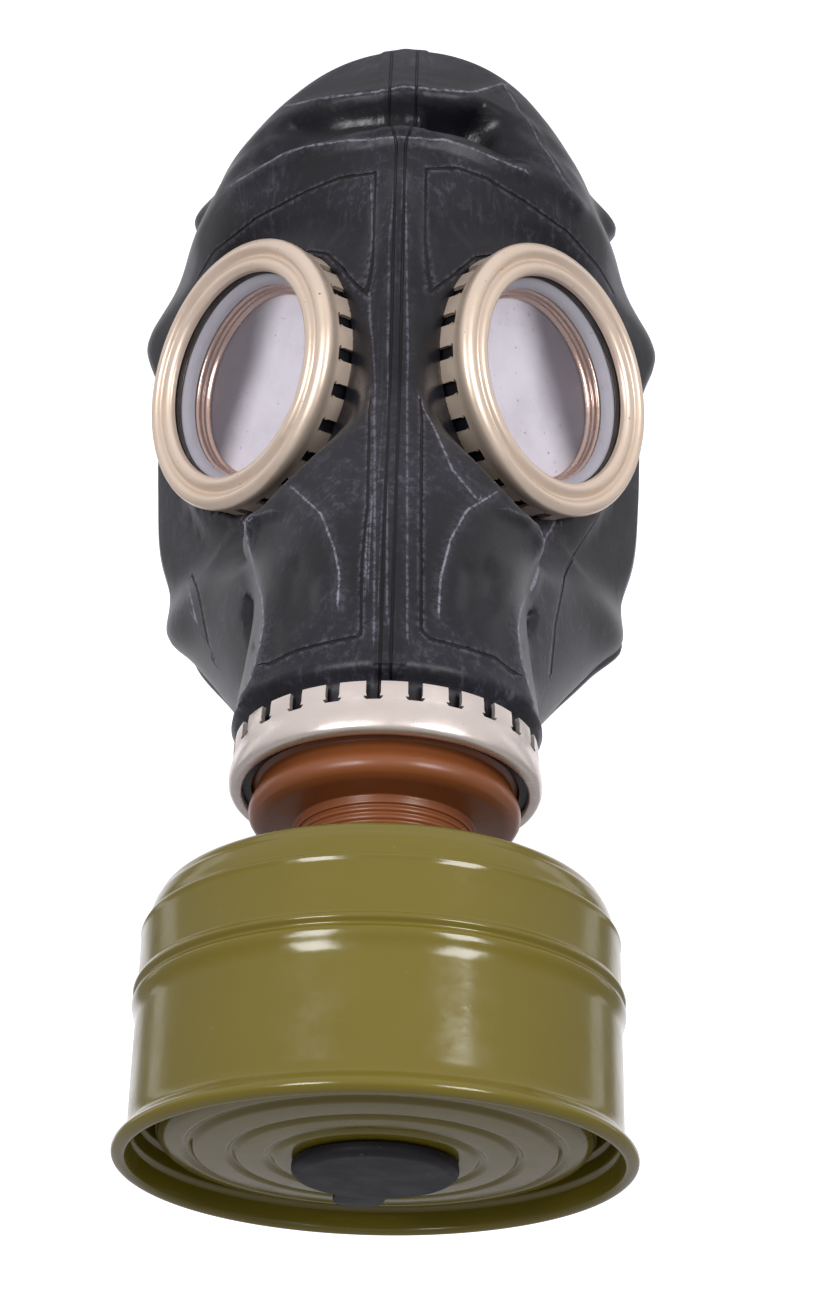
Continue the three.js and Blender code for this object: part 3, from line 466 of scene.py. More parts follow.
# %% [markdown]
# ## Folds of the limp rubber
# Broad folds come from a table of soft bumps and hollows round the spine, mirrored left and right.
# Finer forms, such as the broad glossy hollow over the brow, which is deeper on its right, are placed
# below by their outlines in the photograph.

# %% Broad folds
CROWN_LEAN, CROWN_LEAN_FROM = 5.0, 0.80
FOLD_COLUMNS = ("height", "turn", "rise", "tall", "spread")
FOLDS = {
    "brow ridge": (0.74, 0, 0.03, 0.017, 60),
    "crown ridge": (0.83, 0, 0.03, 0.02, 45),
    "temple bump": (0.853, 104, 0.085, 0.026, 9),
    "temple hollow": (0.79, 88, -0.03, 0.03, 14),
    "ear lobe": (0.685, 117, 0.10, 0.050, 9),
    "ear hollow": (0.72, 100, -0.035, 0.04, 12),
    "cheek hollow": (0.4, 112, -0.03, 0.07, 14),
    "nape hollow": (0.73, 163, -0.05, 0.06, 14),
    "snout corner": (0.278, 79, 0.055, 0.040, 22),
    "jaw lobe": (0.298, 132, 0.10, 0.042, 13),
    "rear lump": (0.872, 112, 0.12, 0.026, 9),
}


def fold_rise(height, turn):
    """The outward push of every broad fold, in millimetres."""
    rise = np.zeros_like(height)
    for where_up, where_round, push, tall, spread in FOLDS.values():
        upward = (height / SPINE - where_up) / tall
        for side in (1,) if where_round == 0 else (1, -1):
            sideways = (np.degrees(turn) - side * where_round) / spread
            rise += push * HEAD_HALF_WIDTH * np.exp(-(upward**2) - sideways**2)
    return rise


def helmet_points(row, turn):
    """Points of the helmet's outer face in spine millimetres."""
    height = column("height", row) * SPINE
    core = -column("core", row) * HEAD_REACH
    bare = section_reach(row, turn)
    taper = np.minimum(bare / (0.3 * HEAD_HALF_WIDTH), 1)
    reach = bare + taper * fold_rise(height, turn)
    lean = np.clip((height / SPINE - CROWN_LEAN_FROM) / (1 - CROWN_LEAN_FROM), 0, 1) ** 2 * CROWN_LEAN
    return np.stack([reach * np.sin(turn) + lean, -(core + reach * np.cos(turn)), height], 1)


def helmet_normals(row, turn):
    step = 0.02
    upward = helmet_points(np.minimum(row + step, LAST), turn) - helmet_points(row - step, turn)
    across = helmet_points(row, turn + step) - helmet_points(row, turn - step)
    normal = np.cross(across, upward)
    return normal / np.maximum(np.linalg.norm(normal, axis=1), 1e-9)[:, None]

print("broad folds:", len(FOLDS))

# %% [markdown]
# The columns of the grid lie closest on the face. On every section one column runs along the
# widest point, where the cheek turns into the back of the head, so that this edge stays clean.

# %% The helmet's grid
FRONT_COLUMNS, BACK_COLUMNS, ROWS = 84, 26, 196
NECK_END = -BAND_HEIGHT + 1.5


def helmet_grid():
    """Fractional rows and turns of the grid, one array each, ROWS + 1 by columns."""
    fine = np.linspace(0, LAST, 4000)
    path = helmet_points(fine, np.full_like(fine, math.radians(35)))
    run = np.concatenate([[0], np.cumsum(np.linalg.norm(np.diff(path, axis=0), axis=1))])
    start = np.interp(NECK_END, column("height", fine[:400]) * SPINE, run[:400])
    rows = np.interp(np.linspace(start, run[-1], ROWS + 1), run, fine)
    behind = (column("widest", rows) - column("core", rows)) * HEAD_REACH
    widest = math.pi / 2 + np.arctan2(behind, column("half", rows) * HEAD_HALF_WIDTH + 1)
    front = np.linspace(0, 1, FRONT_COLUMNS + 1)
    front = 0.8 * front + 0.2 * front**2
    back = np.linspace(0, 1, BACK_COLUMNS + 1)[1:]
    half = np.concatenate([
        widest[:, None] * front, widest[:, None] + (math.pi - widest)[:, None] * back,
    ], axis=1)
    turns = np.concatenate([-half[:, :0:-1], half[:, :-1]], axis=1)
    return np.repeat(rows[:, None], turns.shape[1], 1), turns


grid_rows, grid_turns = helmet_grid()
row, turn = grid_rows.ravel(), grid_turns.ravel()
points, normals = helmet_points(row, turn), helmet_normals(row, turn)
print("helmet grid:", grid_rows.shape)

# %% [markdown]
# ## What the photograph shows on the rubber
# Moulded lines, pale ridges and hollows are kept as short outlines in the photograph's pixels. The
# pale ridges are scuffs, and on the snout and cheek edges they are painted highlights. Each vertex looks
# up how far it lies from them as the camera saw it, and only the front of the mask takes part, so
# everything stays on the rubber from any side.

# %% Outlines in photograph pixels
MOULDED_LINES = {
    "left brow": [(199, 278), (214, 252), (257, 218), (306, 192), (340, 178), (376, 173), (373, 298),
                  (354, 272), (337, 258), (316, 254)],
    "right brow": [(613, 293), (598, 267), (567, 232), (529, 205), (486, 178), (458, 168), (426, 169),
                   (424, 294), (443, 278), (466, 261), (486, 258)],
    "left lower panel": [(370, 400), (368, 505), (362, 566), (361, 636), (322, 644), (294, 652),
        (268, 665)],
    "right lower panel": [(422, 400), (421, 505), (421, 630), (430, 639), (469, 649), (495, 658),
        (514, 674)],
    "left cheek": [(171, 500), (180, 543), (198, 588), (210, 649), (230, 706)],
    "right cheek": [(585, 512), (579, 530), (564, 578), (555, 623), (550, 674)],
}
PALE_RIDGES = {  # points, half-width in mm, rise in mm, paleness
    "upper fold": ([(285, 106), (309, 102), (337, 98), (383, 93), (403, 90), (443, 92), (468, 94),
        (490, 89), (504, 86)], 1.2, 0.9, 0.5),
    "outer fold": ([(501, 86), (516, 108), (541, 150), (560, 180), (580, 206)], 2.4, 1.6, 0.3),
    "lower fold": ([(231, 187), (262, 168), (285, 155), (308, 148), (346, 142), (392, 140),
        (443, 141), (472, 150), (495, 160), (525, 172)], 1.3, 1.0, 0.5),
    "left snout arc": ([(294, 489), (322, 515), (335, 550), (340, 575), (338, 607)], 1.0, 0.5, 0.55),
    "right snout arc": ([(494, 494), (466, 511), (450, 540), (440, 578), (438, 613)], 1.0, 0.5, 0.55),
    # painted highlights: the pale lines on the snout edges stand for light caught on the edges of the
    # folds
    "left snout edge": ([(250, 520), (252, 553), (256, 578), (264, 598), (267, 625), (263, 649),
        (254, 680), (244, 700)], 1.5, 1.7, 0.9),
    "right snout edge": ([(545, 518), (540, 560), (530, 590), (519, 610), (515, 630), (517, 655),
        (530, 700)], 1.5, 1.7, 0.9),
    "left flange": ([(236, 508), (258, 516), (276, 512)], 1.7, 1.2, 0.15),
    "right flange": ([(504, 510), (530, 520), (558, 522)], 1.7, 1.2, 0.15),
    # painted highlights: the pale lines on the cheek edges stand for light caught on the edges of the
    # folds
    "left cheek edge": ([(156, 470), (169, 511), (185, 575), (204, 649), (236, 712)], 1.0, 0.4, 0.9),
    "right cheek edge": ([(641, 534), (625, 591), (596, 649), (565, 700), (536, 725)], 1.0, 0.4, 0.9),
    "left panel": ([(367, 505), (366, 588)], 0.5, 0.0, 0.30),
    "left seam strip": ([(371, 180), (374, 300), (375, 500), (374, 640)], 0.5, 0.0, 0.22),
    "nose seam": ([(396, 180), (390, 240), (387, 500), (387, 620)], 0.5, 0.0, 0.18),
    "right seam strip": ([(405, 180), (407, 400), (407, 640)], 0.9, 0.0, 0.20),
    "right nose crease": ([(421, 398), (452, 470), (475, 498)], 0.7, 0.3, 0.4),
    "left eye crease": ([(342, 282), (352, 305), (358, 335)], 0.9, 0.4, 0.5),
    "seam blob": ([(378, 667), (400, 667)], 1.6, 1.0, 0.1),
}
HOLLOWS = {  # outline, depth in mm, how far in from the outline it is deep, in px, and gloss
    "brow hollow": ([(240, 184), (254, 148), (270, 124), (288, 112), (309, 108), (346, 100),
        (384, 97), (417, 95), (461, 98), (488, 96), (505, 112), (526, 144), (544, 168), (512, 164),
        (484, 153), (461, 143), (417, 139), (384, 139), (340, 141), (308, 148), (285, 156),
        (262, 170)], 6.0, 16, 0.85),
    "right brow hollow": ([(420, 101), (461, 103), (485, 104), (501, 118), (516, 140), (524, 155),
        (500, 150), (484, 143), (461, 133), (424, 132)], 6.0, 12, 1.0),
    "left snout pocket": ([(244, 590), (256, 602), (257, 655), (248, 650), (240, 615)], 4.0, 5, 0.4),
    "right snout pocket": ([(533, 606), (522, 616), (519, 655), (530, 645), (539, 615)], 4.0, 5, 0.4),
    "left snout dent": ([(270, 560), (300, 548), (325, 575), (325, 620), (290, 636),
        (268, 610)], 1.4, 22, 0.1),
    "right snout dent": ([(455, 560), (490, 548), (520, 575), (508, 610), (470, 632),
        (450, 610)], 1.4, 22, 0.1),
}


def pixels_to_line(pixels, line, with_side=False):
    """Distance in pixels from each point to a line of points, and on which side of it the point is."""
    best, side = np.full(len(pixels), 1e9), np.zeros(len(pixels))
    for a, b in zip(np.array(line[:-1], float), np.array(line[1:], float)):
        run = (b - a) / np.linalg.norm(b - a)
        away = pixels - a
        along = np.clip(away @ run, 0, np.linalg.norm(b - a))
        distance = np.linalg.norm(away - along[:, None] * run, axis=1)
        off = away[:, 0] * run[1] - away[:, 1] * run[0]
        nearer = (distance < best - 1e-6) | ((distance < best + 1e-6) & (np.abs(off) > np.abs(side)))
        best, side = np.where(nearer, distance, best), np.where(nearer, off, side)
    return (best, np.sign(side)) if with_side else best


def pixels_inside(pixels, outline):
    """Distance in pixels to the outline, for points inside it, and 0 outside."""
    inside = np.zeros(len(pixels), bool)
    x, y = pixels[:, 0], pixels[:, 1]
    for (ax, ay), (bx, by) in zip(outline, outline[1:] + outline[:1]):
        crosses = (ay > y) != (by > y)
        inside ^= crosses & (x < (bx - ax) * (y - ay) / (by - ay + 1e-9) + ax)
    return np.where(inside, pixels_to_line(pixels, outline + outline[:1]), 0)


def to_frame(points):
    return points @ np.array(SPINE_TO_FRAME)[:3, :3].T + np.array(SPINE_TO_FRAME.translation)


pixels, depth = photo_pixels(to_frame(points))
px_per_mm = FOCAL_PX * MM / depth
to_camera = np.array(camera_place) - to_frame(points)
normals_in_frame = normals @ np.array(turn_spine)[:3, :3].T
facing = np.einsum("ij,ij->i", normals_in_frame, to_camera) / np.linalg.norm(to_camera, axis=1)
in_front = np.clip((facing - 0.02) / 0.18, 0, 1) * (np.abs(np.degrees(turn)) < 125)

firm = np.clip((facing - 0.12) / 0.35, 0, 1) * in_front
PALE_LEAST_HALF = 1.6

def lines_on_rubber(outlines):
    """Millimetres from the nearest of the lines, and the same with the sign of the line's side."""
    nearest, signed = np.full(len(points), 6.0), np.full(len(points), 6.0)
    for outline in outlines:
        away, off = pixels_to_line(pixels, outline, True)
        away = away / px_per_mm
        nearer = (away < nearest) & (in_front > 0.05)
        nearest, signed = np.where(nearer, away, nearest), np.where(nearer, away * off, signed)
    return nearest, signed


line_away, line_side = lines_on_rubber(MOULDED_LINES.values())
ridge_away, ridge_side = lines_on_rubber([ridge[0] for ridge in PALE_RIDGES.values()])
pale_share, gloss_share, push = (np.zeros(len(points)) for _ in range(3))
for outline, half_width, rise, paleness in PALE_RIDGES.values():
    away = pixels_to_line(pixels, outline) / px_per_mm
    near_line = np.exp(-((away / half_width) ** 2))
    wide_line = np.exp(-((away / max(half_width, PALE_LEAST_HALF)) ** 2))
    pale_share = np.maximum(pale_share, paleness * wide_line * in_front)
    push += rise * near_line * firm
for outline, deep, edge, shine_share in HOLLOWS.values():
    inward = pixels_inside(pixels, outline) * firm
    share = np.clip(inward / edge, 0, 1)
    share = share**2 * (3 - 2 * share)
    push -= deep * share
    gloss_share = np.maximum(gloss_share, shine_share * share)
print("hollows down to", round(float(push.min()), 1), "mm")

# %% [markdown]
# ## Middle seam, and the seats of the eyepieces
# A moulded rib runs down the middle of the face and over the crown. Round each eye the rubber rises
# or sinks to a flat seat that the ring's crimped edge grips, so the ring never stands in the air.

# %% Seam rib and eye seats
SEAM_RISE, SEAM_HALF, STRIP_HALF = 0.7, 2.0, 7.0
SEAT_LEVEL, SEAT_RADIUS, SEAT_FLARE = -EYE_DEPTH - 0.35, 38.6, 13.0
HOLE_RADIUS, COLLAR_LEVEL = 34.6, -8.3
STRIP_EDGE, STRIP_RISE, SEAM_SHARE = 0.8, 0.45, 0.4
LIP_HEIGHT, LIP_TALL, LIP_RISE = 4.2, 1.9, 1.1
COLLAR_FLARE, FLARE_BELOW = 10.0, 9.0
CLIMB_FROM, CLIMB_WIDTH, SEAT_REACH = 35.0, 2.4, 19

above_band = np.clip(points[:, 2] / (0.04 * SPINE), 0, 1)
across = np.abs(points[:, 0])
strip = np.clip((STRIP_HALF - across) / STRIP_EDGE, 0, 1) * STRIP_RISE
push += (strip + SEAM_RISE * np.exp(-((across / SEAM_HALF) ** 2)) * SEAM_SHARE) * above_band
lip = np.exp(-(((points[:, 2] - LIP_HEIGHT) / LIP_TALL) ** 2))
push += LIP_RISE * lip
taper = np.clip(section_reach(row, turn) / (0.3 * HEAD_HALF_WIDTH), 0, 1)
points = points + normals * (push * taper)[:, None]

hole = np.zeros(len(points), bool)
for side in (-1, 1):
    axis, middle = (np.array(v) for v in eye_axis(side))
    away = points - middle
    level_up = away @ axis
    outward = away - level_up[:, None] * axis
    radius = np.linalg.norm(outward, axis=1)
    same_side = (points[:, 0] * side > -4) & (level_up > -32)
    downward = np.clip(-1.6 * outward[:, 2] / radius, 0, 1)
    width = np.where(level_up < SEAT_LEVEL, SEAT_FLARE, COLLAR_FLARE + FLARE_BELOW * downward)
    flare = np.clip((radius - SEAT_RADIUS) / width, 0, 1)
    flare = flare**2 * (3 - 2 * flare)
    climb = np.clip((radius - CLIMB_FROM) / CLIMB_WIDTH, 0, 1)
    seat_level = SEAT_LEVEL + (COLLAR_LEVEL - SEAT_LEVEL) * climb**2 * (3 - 2 * climb)
    wanted = seat_level * (1 - flare) + level_up * flare
    move = np.where(same_side & (radius < SEAT_RADIUS + SEAT_REACH), wanted - level_up, 0)
    points = points + move[:, None] * axis
    hole |= same_side & (radius < HOLE_RADIUS)
print("vertices in the eye holes:", int(hole.sum()))

# %% [markdown]
# ## Cutting the openings
# The grid is closed round the back and at the crown. The eye holes are made by removing the
# vertices inside them, which leaves a stepped edge for the sockets to cover. The neck opening is cut
# by planes that touch its rounded edge. The shell is then thickened inwards to its wall, and the
# sockets and the rolled edge are added to the same piece, as they are moulded with it.

# %% Build the shell
NECK_CHIN = Vector((0.228 * HEAD_REACH, 0.069 * SPINE))
NECK_NAPE = Vector((0.96 * HEAD_REACH, 0.592 * SPINE))
JAW = math.atan2(NECK_NAPE.y - NECK_CHIN.y, NECK_NAPE.x - NECK_CHIN.x)
CHIN_ROUND = 0.08 * HEAD_REACH
NECK_BEAD = 2.3
ROUGH_CUT, CUT_BAND = 9, 7


def keeps_rubber(points):
    """Above zero on the rubber that stays, and below zero in the neck opening."""
    y, z = points[:, 1] - NECK_CHIN.x, points[:, 2] - NECK_CHIN.y
    above = z * math.cos(JAW) - y * math.sin(JAW)
    ahead = -(y * math.cos(JAW) + z * math.sin(JAW))
    a, b = above + CHIN_ROUND, ahead + CHIN_ROUND
    corner = (a > 0) & (b > 0)
    return np.where(corner, np.hypot(a, b) - CHIN_ROUND, np.maximum(above, ahead))


def set_attribute(layer, bm, values):
    for v, value in zip(bm.verts, values):
        v[layer] = float(value)


shell = bmesh.new()
columns_round = grid_rows.shape[1]
bmesh.ops.create_grid(shell, x_segments=columns_round, y_segments=ROWS, size=1)
shell.verts.ensure_lookup_table()
order = np.array([
    (round((v.co.y + 1) / 2 * ROWS), round((v.co.x + 1) / 2 * columns_round))
    for v in shell.verts
])
index = order[:, 0] * columns_round + order[:, 1] % columns_round
placed_points = points[index]
for v, co in zip(shell.verts, placed_points):
    v.co = co
keep_names = {
    "line_side": line_side, "line_away": line_away, "ridge_side": ridge_side, "ridge_away": ridge_away,
    "pale": pale_share, "gloss": gloss_share,
}
for name, values in keep_names.items():
    set_attribute(shell.verts.layers.float.new(name), shell, values[index])
cut = hole[index] | (keeps_rubber(placed_points) < -ROUGH_CUT)
doomed = [v for v, gone in zip(shell.verts, cut) if gone]
bmesh.ops.delete(shell, geom=doomed, context="VERTS")
bmesh.ops.remove_doubles(shell, verts=shell.verts, dist=1e-3)


def kept_by(parts, coordinate):
    return keeps_rubber(np.array([coordinate(p) for p in parts]))


CORNER_CUTS = 5
over = Vector((0, -math.sin(JAW), math.cos(JAW)))
before = Vector((0, -math.cos(JAW), -math.sin(JAW)))
corner_middle = Vector((0, NECK_CHIN.x, NECK_CHIN.y)) - CHIN_ROUND * (over + before)
for k in range(CORNER_CUTS):
    angle = math.pi / 2 * k / (CORNER_CUTS - 1)
    facing_way = math.cos(angle) * over + math.sin(angle) * before
    reach = kept_by(shell.faces, lambda f: f.calc_center_median())
    near_faces = [f for f, away in zip(shell.faces, reach) if abs(away) < CUT_BAND]
    near_parts = {part for f in near_faces for part in (*f.verts, *f.edges)}
    bmesh.ops.bisect_plane(
        shell, geom=[*near_faces, *near_parts], dist=1e-3,
        plane_co=corner_middle + CHIN_ROUND * facing_way, plane_no=facing_way,
    )
reach = kept_by(shell.faces, lambda f: f.calc_center_median())
inside_opening = [f for f, away in zip(shell.faces, reach) if away < 0]
bmesh.ops.delete(shell, geom=inside_opening, context="FACES")
bmesh.ops.recalc_face_normals(shell, faces=shell.faces)
shell.faces.ensure_lookup_table()
front_face = min(shell.faces, key=lambda f: f.calc_center_median().y)
if front_face.normal.y > 0:
    bmesh.ops.reverse_faces(shell, faces=shell.faces)
bmesh.ops.solidify(shell, geom=shell.faces[:], thickness=WALL)
print("shell faces:", len(shell.faces))

# %% [markdown]
# The bead follows the opening: from the middle of the opening, rays across the grid find where the
# rubber begins, and a round section is carried along the points they give.

# %% Rolled edge and eye sockets
BEAD_STEPS, BEAD_SIDES = 180, 12


def opening_edge():
    """Points of the middle of the wall along the neck opening."""
    angle = np.linspace(0, 2 * math.pi, BEAD_STEPS, endpoint=False)

    def on_face(share):
        row = np.maximum(0.2 * (LAST + 1) + share * np.sin(angle) * 0.6 * (LAST + 1), 0.1)
        turn = math.pi + share * np.cos(angle) * math.pi
        return helmet_points(row, turn) - helmet_normals(row, turn) * WALL / 2

    near, far = np.zeros(BEAD_STEPS), np.zeros(BEAD_STEPS)
    for share in np.arange(0.05, 1.01, 0.025):
        still_open = (far == 0) & (keeps_rubber(on_face(np.full(BEAD_STEPS, share))) < 0)
        near = np.where(still_open, share, near)
        far = np.where((far == 0) & ~still_open, share, far)
    for _ in range(20):
        half = (near + far) / 2
        kept = keeps_rubber(on_face(half)) > 0
        near, far = np.where(kept, near, half), np.where(kept, half, far)
    return on_face(near)


def tube(bm, path, radius, sides):
    """A closed round tube along a closed path."""
    count = len(path)
    ahead = np.roll(path, -1, 0) - np.roll(path, 1, 0)
    ahead /= np.linalg.norm(ahead, axis=1)[:, None]
    outward = path - path.mean(0)
    outward -= np.einsum("ij,ij->i", outward, ahead)[:, None] * ahead
    outward /= np.linalg.norm(outward, axis=1)[:, None]
    upward = np.cross(ahead, outward)
    rings = []
    for k in range(count):
        ring = []
        for j in range(sides):
            a = 2 * math.pi * j / sides
            spot = path[k] + radius * (math.cos(a) * outward[k] + math.sin(a) * upward[k])
            ring.append(bm.verts.new(spot))
        rings.append(ring)
    for k in range(count):
        here, after = rings[k], rings[(k + 1) % count]
        for j in range(sides):
            bm.faces.new((here[j], here[(j + 1) % sides], after[(j + 1) % sides], after[j]))


edge = opening_edge()
edge = (np.roll(edge, 1, 0) + 2 * edge + np.roll(edge, -1, 0)) / 4
bead = bmesh.new()
tube(bead, edge, NECK_BEAD, BEAD_SIDES)
face_outwards(bead)

SOCKET = [
    (33.0, -20.0, 0), (35.0, -20.0, 0.3), (35.0, -9.9, 0.3), (36.0, -9.5, 0.3), (36.0, -2.6, 0.4),
    (29.7, -2.6, 0.5), (29.7, -12.2, 0.3), (27.2, -12.2, 0.3), (27.2, -14.4, 0.3), (33.0, -14.6, 0.3),
    (33.0, -20.0, 0),
]


def join(target, source, defaults=None):
    """Adds one bmesh to another, through a mesh, with given attribute values on its vertices."""
    for name, value in (defaults or {}).items():
        layer = source.verts.layers.float.new(name)
        for v in source.verts:
            v[layer] = value
    mesh = bpy.data.meshes.new("part")
    source.to_mesh(mesh)
    source.free()
    target.from_mesh(mesh)
    bpy.data.meshes.remove(mesh)


plain = {
    "line_side": 6.0, "line_away": 6.0, "ridge_side": 6.0, "ridge_away": 6.0, "pale": 0.12, "gloss": 0.0,
}
join(shell, bead, plain)
for side in (-1, 1):
    socket = spun(rounded(SOCKET, 2), 96)
    face_outwards(socket)
    socket.transform(eye_place(side))
    join(shell, socket, {**plain, "pale": 0.0})
helmet = finished("rubber_helmet", shell, rubber, "helmet")

# %% [markdown]
# ## Eyepieces
# Each ring is one pressed sheet: a skirt whose slotted edge is crimped over the rubber, a round
# shoulder, a groove and a raised inner lip that holds the glass. The sheet is spun as a surface, the
# slots are cut where they fall, and the wall is added last.

# %% Rings with crimp slots
CRIMP_SLOTS, PER_SLOT = 24, 12
SHEET = 1.1
EYE_RING = [
    (35.3, -11.3, 0), (36.9, -11.3, 0.8), (37.5, -10.0, 1.0), (37.52, -5.4, 0), (37.55, -4.4, 0),
    (37.57, -3.9, 0), (37.58, -3.6, 0), (37.7, -2.6, 0.8), (38.3, -0.8, 1.0), (38.2, 1.0, 1.0),
    (36.6, 2.35, 1.2), (34.9, 2.35, 0.8),
    (33.9, 0.9, 0.5), (33.0, 0.9, 0.5), (31.9, 2.2, 0.8), (30.2, 2.2, 0.9), (29.1, 1.2, 0.6),
    (29.1, -0.3, 0),
]


def slotted(profile, steps, slot_width, slot_top, is_slot_height, phase):
    """A spun sheet with rounded slots cut in from one edge, before it gets its thickness."""
    bm = spun(profile, steps * PER_SLOT)
    pitch = 2 * math.pi / steps
    for v in bm.verts:
        turn = math.atan2(v.co.y, v.co.x) / pitch - phase
        off = turn - round(turn)
        radius = math.hypot(v.co.x, v.co.y)
        half = slot_width / 2 / radius / pitch
        grid = round(abs(off) * PER_SLOT) / PER_SLOT
        first = round(half * PER_SLOT) / PER_SLOT
        if is_slot_height(v.co.z):
            up_the_end = 1 - min(abs(v.co.z - slot_top) / (slot_width / 2), 1)
            half *= max(math.sqrt(1 - up_the_end**2), 0.3)
            stretch = half / first if grid <= first else None
            new = grid * stretch if stretch else half + (grid - first) * (0.5 - half) / (0.5 - first)
            angle = (round(turn) + math.copysign(new, off) + phase) * pitch
            v.co.x, v.co.y = radius * math.cos(angle), radius * math.sin(angle)
    doomed = []
    for f in bm.faces:
        c = f.calc_center_median()
        turn = math.atan2(c.y, c.x) / pitch - phase
        half = slot_width / 2 / math.hypot(c.x, c.y) / pitch
        if is_slot_height(c.z) and abs(turn - round(turn)) < half and not abs(c.z - slot_top) < 0.02:
            doomed.append(f)
    bmesh.ops.delete(bm, geom=doomed, context="FACES")
    return bm


for word, side in (("left", 1), ("right", -1)):
    phase = 0.05 if side > 0 else 0.83
    ring = slotted(rounded(EYE_RING), CRIMP_SLOTS, 3.7, -3.6, lambda z: z < -3.55, phase)
    face_outwards(ring)
    bmesh.ops.solidify(ring, geom=ring.faces[:], thickness=SHEET)
    finished(f"eye_ring_{word}_metal", ring, eye_metal, f"eye_ring_{word}", eye_place(side))

# %% [markdown]
# Behind the glass lie a pale gasket and a bright sprung ring with two ridges, which holds the hazy
# inner lens. The glass and the inner lens are plain discs, so the CAD's own are kept.

# %% Gaskets, spring rings and glass
GASKET = [
    (29.3, -2.8, 0), (28.7, -2.8, 0.4), (27.6, -4.2, 0.6), (27.1, -6.0, 0.3), (29.3, -6.0, 0.2),
    (29.3, -2.8, 0),
]
SPRING = [
    (29.3, -6.3, 0), (27.0, -6.3, 0.4), (26.4, -7.0, 0.4), (26.9, -7.9, 0.4), (26.3, -8.6, 0.4),
    (26.6, -9.3, 0.4), (25.6, -9.9, 0.4), (25.6, -10.6, 0.3), (29.3, -10.6, 0.2), (29.3, -6.3, 0),
]
for word, side in (("left", 1), ("right", -1)):
    for name, profile, look, node, slot in (
        ("eye_gasket", GASKET, grey_rubber, "eye_gasket", "gasket"),
        ("spring_ring", SPRING, spring_metal, "spring_ring", "eye_metal"),
    ):
        piece = spun(rounded(profile, 3), 128)
        face_outwards(piece)
        finished(f"{name}_{word}_smooth", piece, look, f"{node}_{word}", eye_place(side))
    for node, look in ((f"lens_{word}", glass), (f"inner_lens_{word}", film)):
        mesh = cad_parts[node].data
        mesh.materials.clear()
        mesh.materials.append(look)

# %% [markdown]
# ## Valve band and housing
# The clamp band is a sheet ring crimped over the rubber neck, with slots along its top edge and a
# rolled edge below. The housing under it is one brown moulding: a rounded disc and a ribbed collar
# that takes the canister's thread.

# %% Valve band
BAND = [
    (34.9, -12.2, 0), (35.2, -13.0, 0.4), (37.0, -13.2, 1.0), (38.3, -12.0, 1.6), (38.3, -9.0, 1.5),
    (37.75, -6.5, 1.5), (37.6, -4.9, 0), (37.6, -4.55, 0),
    (37.6, -4.0, 0), (37.55, -3.1, 0), (37.5, -1.2, 0), (37.3, 0.0, 0),
]
band = slotted(rounded(BAND), CRIMP_SLOTS, 3.5, -4.9, lambda z: z > -4.95, 0.73)
face_outwards(band)
bmesh.ops.solidify(band, geom=band.faces[:], thickness=SHEET)
finished("valve_band_metal", band, band_metal, "valve_band")

# %% [markdown]
# The housing is one turned profile: its bore, the collar with a rib for each turn of the loop, the
# rounded disc, and the waist that the band clamps.

# %% Valve housing
RIB_PITCH, RIBS = 2.05, 8
COLLAR, CAN_TOP = 21.7, CAN_RIM + 62.9
body = [
    (15.5, 2.4, 0), (15.5, -22.0, 0), (19.1, -22.0, 0), (19.1, CAN_TOP + 0.4, 0),
    (21.0, CAN_TOP + 0.4, 0.3),
]
for k in range(RIBS):
    base = -24.4 - (RIBS - k) * RIB_PITCH + 0.5
    body += [
        (COLLAR, base + 0.35, 0.35), (COLLAR, base + 1.25, 0.35),
        (COLLAR - 0.65, base + 1.45, 0.2), (COLLAR - 0.65, base + RIB_PITCH, 0.2),
    ]
body += [
    (COLLAR + 0.1, -23.9, 0.4), (COLLAR + 0.1, -21.7, 0.5), (30.3, -21.5, 1.6), (33.1, -19.8, 2.0),
    (33.1, -16.6, 1.8), (31.6, -14.6, 1.4), (30.6, -12.0, 0.8), (33.4, -10.0, 0.4), (33.4, 2.4, 0.4),
    (15.5, 2.4, 0),
]
body = spun(rounded(body, 3), 144)
face_outwards(body)
finished("valve_housing_moulding", body, housing, "valve_body")

# %% [markdown]
# ## Canister and plug
# The canister is a drawn drum: a domed top with a ring step, a sharp shoulder, a double bead pressed
# round its side and a rolled bottom rim. Its end plate is pressed into rings round the inlet, which
# a black rubber plug with a pull tab closes.

